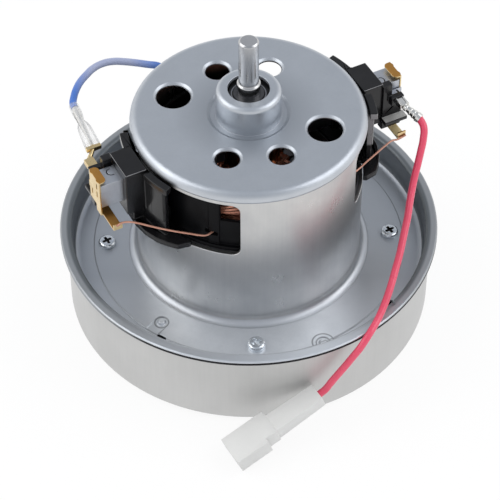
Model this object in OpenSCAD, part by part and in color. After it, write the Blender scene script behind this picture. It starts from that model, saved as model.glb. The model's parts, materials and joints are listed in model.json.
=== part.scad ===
// Vacuum cleaner motor unit: a two-pole brush motor in a drawn steel frame, over a fan drum.
// Millimetres. Z is the shaft axis, the drum stands on z = 0 and the brushes lie along X.

/* [Frame] */
// Outside diameter of the rim lip
rim_d = 134; // [126:1:142]
// Height of the rim's top above the floor
rim_top = 33.5; // [32:0.5:36]
// Height of the flange's top face
flange_top = 23; // [22.5:0.5:24]
// Outside diameter of the can
can_d = 79.2; // [78.8:0.1:80]
// Height of the can's open end
can_top = 82.9; // [82.5:0.1:83.4]
// Sheet thickness of the frame
frame_t = 1.2; // [1:0.1:1.3]
// Radius of the fillet at the foot of the can
foot_r = 3.2; // [2.5:0.1:3.6]
// Radius of the corner between flange and upright wall
wall_corner = 2.4; // [1.6:0.1:2.8]
// Thickness of the rim lip
lip_t = 1.6; // [1.4:0.1:2]
// Height of the pressed step on the flange
step_h = 0.35; // [0.2:0.05:0.5]
// Radius of the pressed step
step_r = 55.4; // [54.8:0.1:56]
// Lower edge of the windows
window_low = 56.5; // [56:0.1:57]
// Upper edge of the windows
window_top = 79.7; // [79.3:0.1:80]
// Angle at which the right window starts
window_from = -51.5; // [-54:0.5:-48]
// Angle that each window spans
window_span = 110; // [104:1:114]

/* [End bracket] */
// Outside diameter of the end bracket
cap_d = 80.8; // [80.6:0.1:81.2]
// Height of the bracket's plate
cap_top = 85.5; // [85:0.1:86]
// Sheet thickness of the bracket
cap_t = 1.5; // [1.2:0.1:1.6]
// Lower edge of the bracket's skirt
skirt_low = 81.5; // [80.8:0.1:81.9]
// Outside diameter of the bearing boss
boss_d = 22.3; // [22:0.1:23.5]
// Height of the boss's top
boss_top = 96.1; // [95.7:0.1:97]
// Diameter of the hole in the boss
boss_hole_d = 14.2; // [12.5:0.1:15]
// Diameter of the shallow groove round the boss
groove_d = 28.6; // [27:0.2:29.4]
// Diameter of the two large vent holes
big_vent_d = 11.8; // [11:0.1:12.4]
// Radius on which the large vent holes lie
big_vent_r = 26.9; // [26:0.1:27.4]
// Diameter of the four small vent holes
small_vent_d = 8.4; // [7.6:0.1:9]
// Radius on which the small vent holes lie
small_vent_r = 23.5; // [23:0.1:24.5]

/* [Fan drum] */
// Outside diameter of the fan cover
drum_d = 129.6; // [128.8:0.2:130.6]
// Sheet thickness of the fan cover
drum_t = 0.8; // [0.6:0.1:1]
// Radius of the cover's lower corner
drum_corner = 3; // [2:0.2:4]
// Diameter of the inlet eye
eye_d = 35; // [33:0.5:36]
// Height of the recess pressed into the cover's floor
recess_h = 1.2; // [0.8:0.1:1.4]
// Outer diameter of the fan
fan_d = 114; // [108:1:116]
// Number of fan blades
fan_blades_n = 9; // [7:1:10]
// Thickness of the fan's sheet parts
fan_t = 0.8; // [0.6:0.1:1]
// Number of diffuser vanes
diffuser_vanes_n = 12; // [8:1:12]

/* [Shaft and bearings] */
// Diameter of the shaft's free end
shaft_end_d = 6.8; // [6:0.1:7]
// Height of the shaft's tip
shaft_top = 117; // [112:0.5:122]
// Diameter of the shaft in both bearings
journal_d = 8; // [7.9:0.05:8.1]
// Diameter of the shaft inside the armature
shaft_core_d = 10; // [9.2:0.1:10.4]
// Outside diameter of the upper bearing
top_brg_d = 19; // [18.9:0.05:19.1]
// Width of the upper bearing
top_brg_w = 6; // [5.9:0.05:6.1]
// Lower face of the upper bearing
top_brg_low = 88; // [87.8:0.05:88.2]
// Outside diameter of the lower bearing
low_brg_d = 22; // [21.9:0.05:22.1]
// Width of the lower bearing
low_brg_w = 7; // [6.9:0.05:7.05]
// Lower face of the lower bearing
low_brg_low = 19; // [18.95:0.05:19.05]

/* [Stator and armature] */
// Lower end of the lamination stacks
stack_low = 32.5; // [32.3:0.1:33]
// Upper end of the lamination stacks
stack_top = 56.5; // [55.9:0.1:56.5]
// Bore diameter of the stator
stator_bore = 37.2; // [37:0.1:37.6]
// Diameter of the armature
armature_d = 36; // [35:0.1:36.4]
// Number of armature slots and commutator bars
bars_n = 22; // [18:2:24]
// Diameter of the commutator
comm_d = 22; // [21:0.2:22.4]
// Diameter of the field wire's outer layer
wire_d = 0.75; // [0.6:0.05:0.75]
// Turns in the outer layer of each field coil
wire_turns = 7; // [5:1:7]

/* [Brush gear] */
// Width of a carbon brush across the motor
brush_w = 6.3; // [5.6:0.1:6.6]
// Height of a carbon brush
brush_h = 8.6; // [8:0.1:9]
// Length of a carbon brush
brush_l = 32; // [28:0.5:34]
// Height of the brushes' middle
brush_z = 74.2; // [74:0.05:74.3]
// Wall of the steel brush box
box_t = 0.45; // [0.3:0.05:0.5]
// Distance from the axis to the outer end of the brush box
box_out = 57.1; // [56.8:0.1:57.6]
// Thickness of the brass strip
brass_t = 0.55; // [0.4:0.05:0.7]
// Width of the plastic holder block
block_w = 12.8; // [12:0.1:13.6]
// How far the brush box stands out of the holder block
box_stand = 8.1; // [7.5:0.1:9.1]
// Height of the holder block's top
block_top = 82.4; // [81.6:0.1:83]

/* [Leads] */
// Diameter of the insulated leads
lead_d = 2.6; // [2.2:0.1:2.8]
// Diameter of the bare copper jumper wires
jumper_d = 0.7; // [0.5:0.05:0.8]
// Width of the connector's head
plug_head_w = 11.6; // [11:0.1:12]
// Thickness of the connector
plug_t = 6.2; // [5.4:0.1:6.4]

/* [Hidden] */
$fn = 96;
fine = 48;
eps = 0.05;
// Clearances: a seat or press, a part slipped over another, and a ball in its groove
press = 0.01;
slip = 0.1;
ball_clear = 0.1;
lip_gap = 0.3;

can_r = can_d / 2;
can_in = can_r - frame_t;
rim_r = rim_d / 2;
drum_r = drum_d / 2;
wall_in = drum_r - drum_t - slip - frame_t;
lip_low = rim_top - lip_t;
lip_edge = 0.75;
lip_roll = 1.2;
flange_low = flange_top - frame_t;
window_corner = 3;

cap_r = cap_d / 2;
cap_edge = 3;
cap_low = cap_top - cap_t;
skirt_in = can_r + eps;
skirt_chamfer = 1;
skirt_roll = 0.9;
skirt_tuck = 0.55;
boss_r = boss_d / 2;
boss_round = 2;
boss_lid = 1.3;
groove_deep = 0.9;
groove_slope = 1.3;
vent_bevel = 0.9;
vent_bevel_deep = 0.8;
small_vents = [45, 90, 225, 270];
big_vents = [135, 315];

screw_angles = [-24.5, 65.5, 155.5, 245.5];
screw_r = 50.7;
screw_d = 2.9;
screw_head_d = 6.2;
screw_head_h = 2;
screw_hole = screw_d + 0.5;
cross_w = 1;
cross_l = 3.4;
cross_deep = 1.1;

low_brg_top = low_brg_low + low_brg_w;
top_brg_top = top_brg_low + top_brg_w;
bridge_t = 1.5;
bridge_low = flange_low - bridge_t;
bridge_wall = 1.4;
bridge_lid = 0.9;
bridge_arm_w = 12;
bridge_hub_r = 20;
bridge_hole_r = 7.5;
bridge_edge = 4;

eye_r = eye_d / 2;
eye_flare = 1.8;
eye_collar = 2.6;
eye_top = recess_h + eye_flare + eye_collar;
recess_r = 48;
recess_slope = 3;
drum_top = lip_low - lip_gap;

fan_r = fan_d / 2;
fan_plate_low = 13;
fan_eye_gap = 1.1;
fan_eye_r = eye_r + drum_t + fan_eye_gap;
fan_low_eye = 3.4;
fan_low_rim = 7;
blade_t = 0.8;
blade_bend_r = 40;
blade_offset = 6;
blade_edge = 0.5;
fan_washer_t = 1.2;
fan_washer_r = 9;
nut_h = 4.2;
nut_r = 7.5;
nut_chamfer = 0.8;
shaft_low = 7;
spacer_r = 6;
plate_top = fan_plate_low + fan_t;
nut_top = fan_plate_low - fan_washer_t;
spacer_low = plate_top + fan_washer_t;

diffuser_gap = 3.5;
diffuser_r = drum_r - drum_t - diffuser_gap;
diffuser_low = 15.6;
diffuser_t = 1.4;
diffuser_hole_r = 9;
diffuser_boss_r = 3.4;
vane_in = 26;
vane_back = 1.5;
vane_out = diffuser_r - vane_back;
vane_t = 1.2;
vane_bend_r = 48;
vane_offset = 10;
vane_gap = 0.2;

journal_r = journal_d / 2;
shaft_end_r = shaft_end_d / 2;
step_z = 98.6;
shaft_chamfer = 0.6;
core_low = low_brg_top + press;
core_top = top_brg_low - press;
race_t = 1.25;
top_ball_d = 3.2;
low_ball_d = 3.9;
balls_n = 7;
shield_t = 0.3;
shield_in = 0.25;
shield_gap = 0.15;
cage_t = 0.9;
cage_back = 0.45;
washer_t = 0.6;
washer_w = 1.3;

stack_mid = (stack_low + stack_top) / 2;
stack_half = (stack_top - stack_low) / 2;
stator_r = can_in - slip;
slot_in = 22;
slot_out = 32;
neck_half = 15;
shoe_gap = 40;
coil_in = slot_in + 0.3;
coil_out = slot_out - 0.3;
coil_gap = 0.2;
wire_x = 20;
wire_z = 21.6;
wire_over = 0.75;
wire_pitch = 1.2;
wire_steps = 24;
wire_power = 0.4;
coil_corner = 10;
insulator_in = 32.2;
insulator_t = 1.5;
insulator_wall_r = 36.4;
insulator_wall_t = 1.4;
insulator_wall_h = 12.5;
// For each pole: its direction, and how far to either side of it the towers begin
tower_poles = [[90, 52, 42.5], [270, 42.5, 42.5]];
tower_to = 74;
tower_top = 78;
tower_rib = 0.5;
tower_rib_turn = 6;
rib_in = 0.4;
// Angle and height at which each field wire passes through its tower
wire_slots = [[-137.5, 62.4], [-42.2, 64.75]];
wire_slot_turn = 7.2;
wire_slot_h = 1.7;
insulator_gap = 0.5;

armature_r = armature_d / 2;
arm_slot_r = 1.2;
arm_slot_at = 2.6;
arm_mouth = 1;
arm_wire_r = 1;
arm_fibre = 0.4;
arm_end_top = 7.4;
arm_end_low = 4.4;
arm_end_out = 17;
arm_end_in = 6.5;
arm_end_round = 2;

comm_r = comm_d / 2;
comm_low = 66.8;
comm_top = 80.2;
bar_t = 2.2;
bar_gap = 6;
riser_h = 1.3;
riser_out = 1;

brush_clear = 0.2;
brush_face = 0.15;
brush_in = comm_r + brush_face;
brush_out = brush_in + brush_l;
box_in = 14;
box_w = brush_w + 2 * brush_clear + 2 * box_t;
box_h = brush_h + 2 * brush_clear + 2 * box_t;
block_out = box_out - box_stand;
box_low = brush_z - box_h / 2;
box_top = brush_z + box_h / 2;
cut_r = 1.7;
cut_w = 0.35;
cut_turn = 220;
cut_at = [box_out - 6.2, -1.2];
spring_r = 2.4;
spring_wire = 0.7;
spring_turns = 6;
spring_steps = 16;
spring_seat = 0.1;

wing_in = cap_r + 0.4;
block_low = 64.4;
neck_in = 30;
neck_w = box_w + 2.6;
neck_under = 1.4;
neck_top = window_top - slip;
clip_in = 31;
clip_out = 37.6;
clip_top = 81.2;
shelf_in = can_in - 0.3;
shelf_low = window_low + slip;
shelf_t = 1.6;
wing_turn = 22;
wing_t = 1.9;
wing_top = 80.8;
ledge_low = 57;
ledge_t = 2.2;
// Radius and angle of points on one half of the ledge's outer edge
ledge_edge = [[46, 0], [46.4, 7], [46.4, 14], [46, 20], [45.2, 25], [44.2, 30], [41, 34]];
web_w = 9;
web_out = 46;
// Where the ears begin and end on either side of a holder's middle: on the nearer and the farther side
near_ear = [10.5, 24.5];
right_far_ear = [7.5, 20.5];
left_far_ear = [7.5, 18.5];
ear_r = 44;
ear_low = 79.5;
ear_top = 82.1;
tongue_from = 13.5;
tongue_to = 21.5;
tongue_low = 65.4;
tongue_t = 0.5;
cheek_out = 52.2;
cheek_in_y = 4.6;
cheek_y = 7.4;
cheek_low = 62;
cheek_top = 81.8;
guard_out = box_out - 0.9;
guard_top = 75.6;
rack_out = box_out - 0.1;
rack_y = 10.6;
rack_low = 66.2;
rack_t = 1.6;
shroud_in = box_out - 6.1;
shroud_out = box_out - 1.1;
shroud_y = 9.2;
shroud_low = 73.4;
shroud_top = 76.9;

tab_z = 75;
tab_w = 2.6;
tab_at = box_out - 3.2;
tab_reach = 12.6;
tab_t = 0.8;
end_w = 8;
end_low = box_low - 0.4;
end_top = box_top + 1.85;
fold_l = 2.9;
fold_corner = 1.6;
hook_w = 3.3;
hook_reach = 12.4;
hook_up = 2.6;
hook_leg_w = 3.4;
left_hook = [box_out - 3.5, 66];
right_hook = [box_out - 4.8, 60];
slit_w = 0.8;
slit_h = 2.4;
// Slits in the end plate: across, and up from its lower edge
slits = [[1.6, 4], [1.6, 7.6], [-2.2, 2.6]];
bracket_h = 2.6;

receptacle_w = 3.4;
receptacle_t = 2;
receptacle_l = 3.8;
receptacle_gap = 0.2;
barrel_root_r = 0.95;
barrel_r = 1.75;
sleeve_mouth = [-50.4, 16.6, 76.6];
sleeve_bar = [5.4, 1.4, 1.6];
bar_rod_r = 0.6;
sleeve_mouth_r = 2.75;
sleeve_tip_r = 1.75;
sleeve_t = 0.35;
sleeve_shoulder = 13.5;
sleeve_over = 1.5;
sleeve_taper = 0.4;
sleeve_fall = 2;
barrel_sink = 0.3;
lead_gap = 0.3;
sleeve_barrel_r = 1.25;

plug_l = 36;
plug_head_l = 17;
plug_tail_w = 7.8;
plug_tail_t = 5;
plug_wall = 1.2;
plug_edge = 0.8;
plug_shoulder = 4.5;
plug_ledge = 0.3;
contact_w = 4.6;
contact_t = 0.8;
contact_back = 3;
plug_floor = plug_shoulder + 1;
red_plug_at = [-9.3, -69.4, 15.5];
red_plug_turn = [0, 18.9, 182.5];
blue_plug_at = [12.4, 75.6, 3.3];
blue_plug_turn = [0, 0, -30];

// Routes of the leads, from the terminal to the connector
red_route = [
    [56.7, -18.5, 73.2], [56.8, -21.4, 71.6], [55.2, -24.2, 68.6], [53.1, -26.4, 65.6], [50.8, -28.6, 62.4],
    [48.3, -31, 59.4], [45.9, -33.6, 56.6], [43.4, -36.6, 54], [40.9, -39.8, 51.4], [38.1, -42.9, 49],
    [35.2, -46.2, 46.8], [32.2, -49.5, 44.8], [28.9, -52.8, 42.8], [25.7, -56, 40.8], [22.4, -59, 38.8],
    [19, -61.8, 36.9], [15.7, -64.2, 35.5], [12.4, -66.5, 34.9], [9.2, -68.2, 33.4], [6.4, -69, 30.8],
    [3.7, -69.1, 27.9], [1, -69.2, 25], [-1.7, -69.2, 22.1], [-4.3, -69.2, 19.3], [-6.9, -69.3, 16.5],
    red_plug_at];
blue_route = [
    [-47.4, 38.8, 75.2], [-47, 41.2, 75.1], [-45.2, 44.6, 75], [-42.8, 47.8, 75], [-40, 50.6, 75],
    [-36.7, 52.9, 75], [-33.1, 54.9, 75], [-29.1, 55.7, 75], [-25.1, 55.4, 74.6], [-21.1, 54.4, 73.6],
    [-17.3, 53, 72.6], [-13.6, 51.4, 71.6], [-10, 50.4, 70.2], [-7.2, 50.3, 66.8], [-5.6, 50.8, 62.4],
    [-4.8, 52, 57.8], [-4.2, 53.6, 53.2], [-3.8, 55.6, 48.8], [-3.6, 58, 44.6], [-3.4, 60.8, 40.8],
    [-3.2, 63.6, 37.4], [-2.8, 66.6, 35.4], [-2, 69.6, 33.2], [-1, 71.6, 29.4], [0, 72.8, 24.8],
    [1, 73.8, 20], [2, 74.8, 15.2], [3.2, 75.8, 10.8], [4.8, 76.8, 7], [7, 77.6, 4.4], [9.8, 77.1, 3.3],
    [12.4, 75.6, 3.3]];
left_jumper_route = [
    [-56, -12.8, 68.2], [-54, -12.8, 68.9], [-51.6, -13.2, 68.6], [-49.2, -14.3, 68], [-45.6, -16.7, 67],
    [-42, -19, 66], [-38.3, -20.9, 64.8], [-34, -23, 63.6], [-31.3, -24.4, 62.9], [-29, -25.1, 62.4],
    [-26.6, -24.6, 62.3], [-24.2, -24, 62.5], [-21, -25.2, 62.8], [-18.2, -26.9, 63]];
right_jumper_route = [
    [55.4, -12.8, 61], [53.9, -12.8, 60.6], [52, -13, 60.5], [49.9, -12.9, 60.8], [45.8, -14.8, 61.6],
    [40, -17.9, 62.8], [34.1, -21.1, 64], [30.6, -23.1, 64.7], [28, -24.1, 64.9], [25.6, -24.3, 64.6],
    [22, -25, 64], [18.2, -26.9, 63]];

// Points of an arc in a profile, from angle a to angle b
function arc(centre, r, a, b, n = 6) =
    [for (i = [0 : n]) centre + r * [cos(a + (b - a) * i / n), sin(a + (b - a) * i / n)]];

function unit(v) = v / norm(v);
function along(path) =
    [for (i = [0 : len(path) - 1]) unit(path[min(i + 1, len(path) - 1)] - path[max(i - 1, 0)])];
// Normals carried along a path without twist
function carried(t, n, i = 0, done = []) =
    i == len(t) ? done
    : let (m = unit(n - (n * t[i]) * t[i])) carried(t, m, i + 1, concat(done, [m]));

// A round tube of triangles swept along a path
module tube(path, d, sides = 8, up = [0, 0.3, 1]) {
    t = along(path);
    n = carried(t, up);
    last = len(path) - 1;
    points = [for (i = [0 : last]) for (k = [0 : sides - 1])
        path[i] + d / 2 * (cos(360 * k / sides) * n[i] + sin(360 * k / sides) * cross(t[i], n[i]))];
    skin = [for (i = [0 : last - 1]) for (k = [0 : sides - 1])
        let (a = i * sides + k, b = i * sides + (k + 1) % sides)
        each [[a, a + sides, b], [b, a + sides, b + sides]]];
    start = [for (k = [1 : sides - 2]) [0, k, k + 1]];
    end = [for (k = [1 : sides - 2]) [last * sides, last * sides + k + 1, last * sides + k]];
    polyhedron(points, concat(skin, start, end));
}

module ring(r_out, r_in, z, h) {
    translate([0, 0, z])
        difference() {
            cylinder(r = r_out, h = h);
            translate([0, 0, -1])
                cylinder(r = r_in, h = h + 2);
        }
}

// A sector of a ring, from angle a over the angle span
module sector(r_in, r_out, z, h, a, span) {
    rotate([0, 0, a])
        rotate_extrude(angle = span)
            translate([r_in, z])
                square([r_out - r_in, h]);
}

module polar(r, a, z = 0) {
    rotate([0, 0, a])
        translate([r, 0, z])
            children();
}

// A rectangle with round corners, centred
module round_rect(w, h, r) {
    union() {
        square([w - 2 * r, h], center = true);
        square([w, h - 2 * r], center = true);
        for (x = [-1, 1])
            for (y = [-1, 1])
                translate([x * (w / 2 - r), y * (h / 2 - r)])
                    circle(r = r, $fn = fine);
    }
}

// What a window leaves standing in one corner: flats along an arc, run on a little past both edges
module corner_plan(across, up) {
    flats = 5;
    over = 2;
    rise = over * tan(45 / flats);
    edge = concat(
        [[window_corner + over, -rise]],
        arc([window_corner, window_corner], window_corner, 270, 180, flats),
        [[-rise, window_corner + over]]);
    inner = [for (i = [0 : len(edge) - 1]) if (i != 1 && i != len(edge) - 2) edge[i]];
    outer = [[-over, window_corner + over], [-over, -over], [window_corner + over, -over]];
    polygon([for (p = concat(inner, outer)) [across * p[0], up * p[1]]]);
}

// One window through the can: a sector less its four corners
module window_cut(from) {
    depth = 8;
    mid = can_r - depth / 2;
    difference() {
        sector(mid, mid + depth, window_low, window_top - window_low, from, window_span);
        for (end = [[from, 1], [from + window_span, -1]])
            for (edge = [[window_low, 1], [window_top, -1]])
                polar(mid - 1, end[0], edge[0])
                    rotate([90, 0, 90])
                        linear_extrude(depth + 2)
                            corner_plan(end[1], edge[1]);
    }
}

module motor_frame() {
    foot = [can_r + foot_r, flange_top + foot_r];
    corner = [wall_in - wall_corner, flange_top + wall_corner];
    lobe_at = -90;
    lobe_r = 3.8;
    notch_at = -154.5;
    inner_dimple = 50;
    dimple_r = 1.9;
    dimple_h = 0.9;
    spare_hole = [58.4, -59.3, 1.5];
    rim_hole = [63.6, -66.9, 1];
    slit_at = -150.2;
    color("silver")
        difference() {
            union() {
                rotate_extrude()
                    polygon(concat(
                        [[can_r, can_top]],
                        arc(foot, foot_r, 180, 270),
                        arc(corner, wall_corner, 270, 360),
                        arc([wall_in + lip_roll, rim_top - lip_roll], lip_roll, 180, 90),
                        arc([rim_r - lip_edge, rim_top - lip_edge], lip_edge, 90, 0, 4),
                        [[rim_r, lip_low], [wall_in + frame_t, lip_low]],
                        arc(corner, wall_corner + frame_t, 360, 270),
                        arc(foot, foot_r + frame_t, 270, 180),
                        [[can_in, can_top]]));
                difference() {
                    union() {
                        ring(step_r, can_r + foot_r, flange_low + eps, frame_t + step_h - eps);
                        polar(step_r, lobe_at, flange_low + eps)
                            cylinder(r = lobe_r, h = frame_t + step_h - eps, $fn = fine);
                    }
                    polar(step_r, lobe_at, flange_top)
                        cylinder(r = dimple_r + 0.6, h = 1, $fn = fine);
                    hull()
                        for (at = [inner_dimple, step_r + dimple_r])
                            polar(at, notch_at, flange_top)
                                cylinder(r = dimple_r + 0.6, h = 1, $fn = fine);
                }
                for (at = [[inner_dimple, notch_at], [step_r, lobe_at]])
                    polar(at[0], at[1], flange_top - frame_t / 2)
                        cylinder(
                            r1 = dimple_r, r2 = dimple_r * 0.55, h = frame_t / 2 + dimple_h, $fn = fine);
            }
            for (from = [window_from, window_from + 180])
                window_cut(from);
            for (a = screw_angles)
                polar(screw_r, a, flange_low - 1)
                    cylinder(d = screw_hole, h = frame_t + step_h + 2, $fn = fine);
            polar(spare_hole[0], spare_hole[1], flange_low - 1)
                cylinder(r = spare_hole[2], h = frame_t + 2, $fn = fine);
            polar(rim_hole[0], rim_hole[1], rim_top - lip_t / 2)
                cylinder(r = rim_hole[2], h = lip_t, $fn = fine);
            polar(step_r, slit_at, flange_top)
                translate([-0.4, -1.6, -frame_t / 2])
                    cube([0.9, 3.2, frame_t + step_h]);
        }
}

module vent(r, a, d) {
    polar(r, a, cap_low - 1)
        cylinder(d = d, h = cap_t + 2, $fn = fine);
    polar(r, a, cap_top - vent_bevel_deep)
        cylinder(d1 = d, d2 = d + 2 * vent_bevel, h = vent_bevel_deep + 0.001, $fn = fine);
}

module end_bracket() {
    seat = top_brg_d / 2 + press;
    floor_z = cap_top - groove_deep;
    hole = boss_hole_d / 2;
    color("lightslategray")
        difference() {
            rotate_extrude()
                polygon(concat(
                    [[hole, boss_top]],
                    arc([boss_r - boss_round, boss_top - boss_round], boss_round, 90, 0),
                    [[boss_r, floor_z], [groove_d / 2 - groove_slope, floor_z], [groove_d / 2, cap_top]],
                    arc([cap_r - cap_edge, cap_top - cap_edge], cap_edge, 90, 0),
                    [[cap_r, skirt_low + skirt_roll]],
                    [[cap_r - 0.3 * skirt_tuck, skirt_low + 0.45 * skirt_roll]],
                    [[cap_r - skirt_tuck, skirt_low]],
                    [[skirt_in, skirt_low], [skirt_in, cap_low - skirt_chamfer]],
                    [[skirt_in - skirt_chamfer, cap_low], [seat, cap_low]],
                    [[seat, boss_top - boss_lid], [hole, boss_top - boss_lid]]));
            for (a = small_vents)
                vent(small_vent_r, a, small_vent_d);
            for (a = big_vents)
                vent(big_vent_r, a, big_vent_d);
        }
}

module fan_cover() {
    low = [drum_r - drum_corner, drum_corner];
    mouth = [eye_r + eye_flare, recess_h + eye_flare];
    color("gainsboro")
        rotate_extrude()
            polygon(concat(
                [[eye_r, eye_top]],
                arc(mouth, eye_flare, 180, 270),
                [[recess_r, recess_h], [recess_r + recess_slope, 0]],
                arc(low, drum_corner, 270, 360),
                [[drum_r, drum_top], [drum_r - drum_t, drum_top]],
                arc(low, drum_corner - drum_t, 360, 270),
                [[recess_r + recess_slope, drum_t], [recess_r, recess_h + drum_t]],
                arc(mouth, eye_flare - drum_t, 270, 180),
                [[eye_r + drum_t, eye_top]]));
}

module bearing_bridge() {
    seat = low_brg_d / 2 + press;
    lid_low = low_brg_top + eps;
    cup_low = low_brg_low - slip;
    color("silver")
        difference() {
            union() {
                ring(seat + bridge_wall, seat, cup_low, lid_low + bridge_lid - cup_low);
                ring(seat + bridge_wall / 2, bridge_hole_r, lid_low, bridge_lid);
                ring(bridge_hub_r, seat + bridge_wall / 2, bridge_low, bridge_t);
                for (a = screw_angles)
                    rotate([0, 0, a])
                        translate([bridge_hub_r - 3, -bridge_arm_w / 2, bridge_low])
                            cube([screw_r + bridge_edge - bridge_hub_r + 3, bridge_arm_w, bridge_t]);
            }
            for (a = screw_angles)
                polar(screw_r, a, bridge_low - 1)
                    cylinder(d = screw_hole, h = bridge_t + 2, $fn = fine);
        }
}

// A curved blade's plan: the part of a large ring that lies between two radii, on one side of X
module blade_plan(r_in, r_out, bend, offset, t) {
    intersection() {
        difference() {
            circle(r = r_out);
            circle(r = r_in);
        }
        translate([bend + offset, 0])
            difference() {
                circle(r = bend + t);
                circle(r = bend);
            }
        translate([-r_out, 0])
            square([2 * r_out, r_out]);
    }
}

module diffuser() {
    top = diffuser_low + diffuser_t;
    color("dimgray")
        difference() {
            union() {
                ring(diffuser_r, diffuser_hole_r, diffuser_low, diffuser_t);
                difference() {
                    for (i = [0 : diffuser_vanes_n - 1])
                        rotate([0, 0, 360 * i / diffuser_vanes_n])
                            translate([0, 0, top - eps])
                                linear_extrude(bridge_low - vane_gap - top + eps)
                                    blade_plan(vane_in, vane_out, vane_bend_r, vane_offset, vane_t);
                    for (a = screw_angles)
                        polar(screw_r, a, top + eps)
                            cylinder(r = diffuser_boss_r, h = bridge_low - top, $fn = fine);
                }
                for (a = screw_angles)
                    polar(screw_r, a, top - eps)
                        cylinder(r = diffuser_boss_r, h = bridge_low - top + eps, $fn = fine);
            }
            for (a = screw_angles)
                polar(screw_r, a, diffuser_low - 1)
                    cylinder(d = screw_d + 2 * press, h = bridge_low - diffuser_low + 2, $fn = fine);
        }
}

module flange_screw() {
    head_low = flange_top + step_h;
    difference() {
        union() {
            translate([0, 0, head_low])
                rotate_extrude($fn = fine)
                    polygon(concat(
                        [[0, 0], [screw_head_d / 2, 0], [screw_head_d / 2, screw_head_h * 0.45]],
                        arc([screw_head_d / 2 - 1, screw_head_h * 0.45], 1, 0, 75, 4),
                        [[0, screw_head_h]]));
            translate([0, 0, diffuser_low + 0.2])
                cylinder(d = screw_d, h = head_low - diffuser_low, $fn = fine);
        }
        for (turn = [0, 90])
            rotate([0, 0, turn])
                translate([-cross_l / 2, -cross_w / 2, head_low + screw_head_h - cross_deep])
                    cube([cross_l, cross_w, cross_deep + 1]);
    }
}

module flange_screws() {
    color("lightsteelblue")
        for (a = screw_angles)
            polar(screw_r, a)
                rotate([0, 0, 30])
                    flange_screw();
}

// Half of a ball bearing's races, with the groove that the balls run in
module race(r_in, r_out, low, w, ball_d, pitch_r) {
    translate([0, 0, low])
        rotate_extrude()
            difference() {
                translate([r_in, 0])
                    square([r_out - r_in, w]);
                translate([pitch_r, w / 2])
                    circle(d = ball_d + 2 * ball_clear, $fn = fine);
            }
}

module bearing_shields(r_in, r_out, low, w) {
    for (z = [low + shield_in, low + w - shield_in - shield_t])
        ring(r_out, r_in, z, shield_t);
}

module bearing_balls(pitch_r, z, ball_d) {
    for (i = [0 : balls_n - 1])
        polar(pitch_r, 360 * i / balls_n, z)
            sphere(d = ball_d, $fn = fine);
}

// A crown cage: a ring below the balls with open pockets
module bearing_cage(pitch_r, z, ball_d) {
    h = ball_d / 2 + ball_clear + cage_back;
    difference() {
        ring(pitch_r + cage_t / 2, pitch_r - cage_t / 2, z - h, h);
        for (i = [0 : balls_n - 1])
            polar(pitch_r, 360 * i / balls_n, z)
                sphere(d = ball_d + 2 * ball_clear, $fn = fine);
    }
}

top_pitch = (journal_r + top_brg_d / 2) / 2;
low_pitch = (journal_r + low_brg_d / 2) / 2;
top_ball_z = top_brg_low + top_brg_w / 2;
low_ball_z = low_brg_low + low_brg_w / 2;

module top_bearing_outer() {
    color("lightgray")
        race(top_brg_d / 2 - race_t, top_brg_d / 2, top_brg_low, top_brg_w, top_ball_d, top_pitch);
}

module top_bearing_inner() {
    color("lightgray")
        race(journal_r + press, journal_r + race_t, top_brg_low, top_brg_w, top_ball_d, top_pitch);
}

module top_bearing_shields() {
    color("dimgray")
        bearing_shields(journal_r + race_t + shield_gap, top_brg_d / 2 - race_t, top_brg_low, top_brg_w);
}

module top_bearing_balls() {
    color("white")
        bearing_balls(top_pitch, top_ball_z, top_ball_d);
}

module top_bearing_cage() {
    color("goldenrod")
        bearing_cage(top_pitch, top_ball_z, top_ball_d);
}

module bottom_bearing_outer() {
    color("lightgray")
        race(low_brg_d / 2 - race_t, low_brg_d / 2, low_brg_low, low_brg_w, low_ball_d, low_pitch);
}

module bottom_bearing_inner() {
    color("lightgray")
        race(journal_r + press, journal_r + race_t, low_brg_low, low_brg_w, low_ball_d, low_pitch);
}

module bottom_bearing_shields() {
    color("dimgray")
        bearing_shields(journal_r + race_t + shield_gap, low_brg_d / 2 - race_t, low_brg_low, low_brg_w);
}

module bottom_bearing_balls() {
    color("white")
        bearing_balls(low_pitch, low_ball_z, low_ball_d);
}

module bottom_bearing_cage() {
    color("goldenrod")
        bearing_cage(low_pitch, low_ball_z, low_ball_d);
}

module wave_washer() {
    color("gray")
        ring(top_brg_d / 2 - slip, top_brg_d / 2 - slip - washer_w, top_brg_top, washer_t);
}

// Plan of the two-pole stator, with its pole necks on Y
module stator_plan() {
    difference() {
        circle(r = stator_r);
        circle(d = stator_bore);
        difference() {
            circle(r = slot_out);
            circle(r = slot_in);
            translate([-neck_half, -stator_r])
                square([2 * neck_half, 2 * stator_r]);
        }
        for (side = [0, 180])
            rotate(side - shoe_gap / 2)
                intersection() {
                    circle(r = slot_in + eps);
                    polygon([[0, 0], [2 * slot_in, 0], 2 * slot_in * [cos(shoe_gap), sin(shoe_gap)]]);
                }
    }
}

module stator_core() {
    color("gray")
        translate([0, 0, stack_low])
            linear_extrude(stack_top - stack_low)
                stator_plan();
}

// Body of one field coil, on the pole at +Y
module coil_body() {
    intersection() {
        ring(coil_out, coil_in, 0, 2 * stack_mid);
        translate([0, coil_out + 1, stack_mid])
            rotate([90, 0, 0])
                linear_extrude(coil_out + 1)
                    difference() {
                        round_rect(2 * (wire_x - wire_over), 2 * (wire_z - wire_over), coil_corner);
                        square([2 * (neck_half + coil_gap), 2 * (stack_half + coil_gap)], center = true);
                    }
    }
}

function turned(c, half) = half * sign(c) * pow(abs(c), wire_power);
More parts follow.
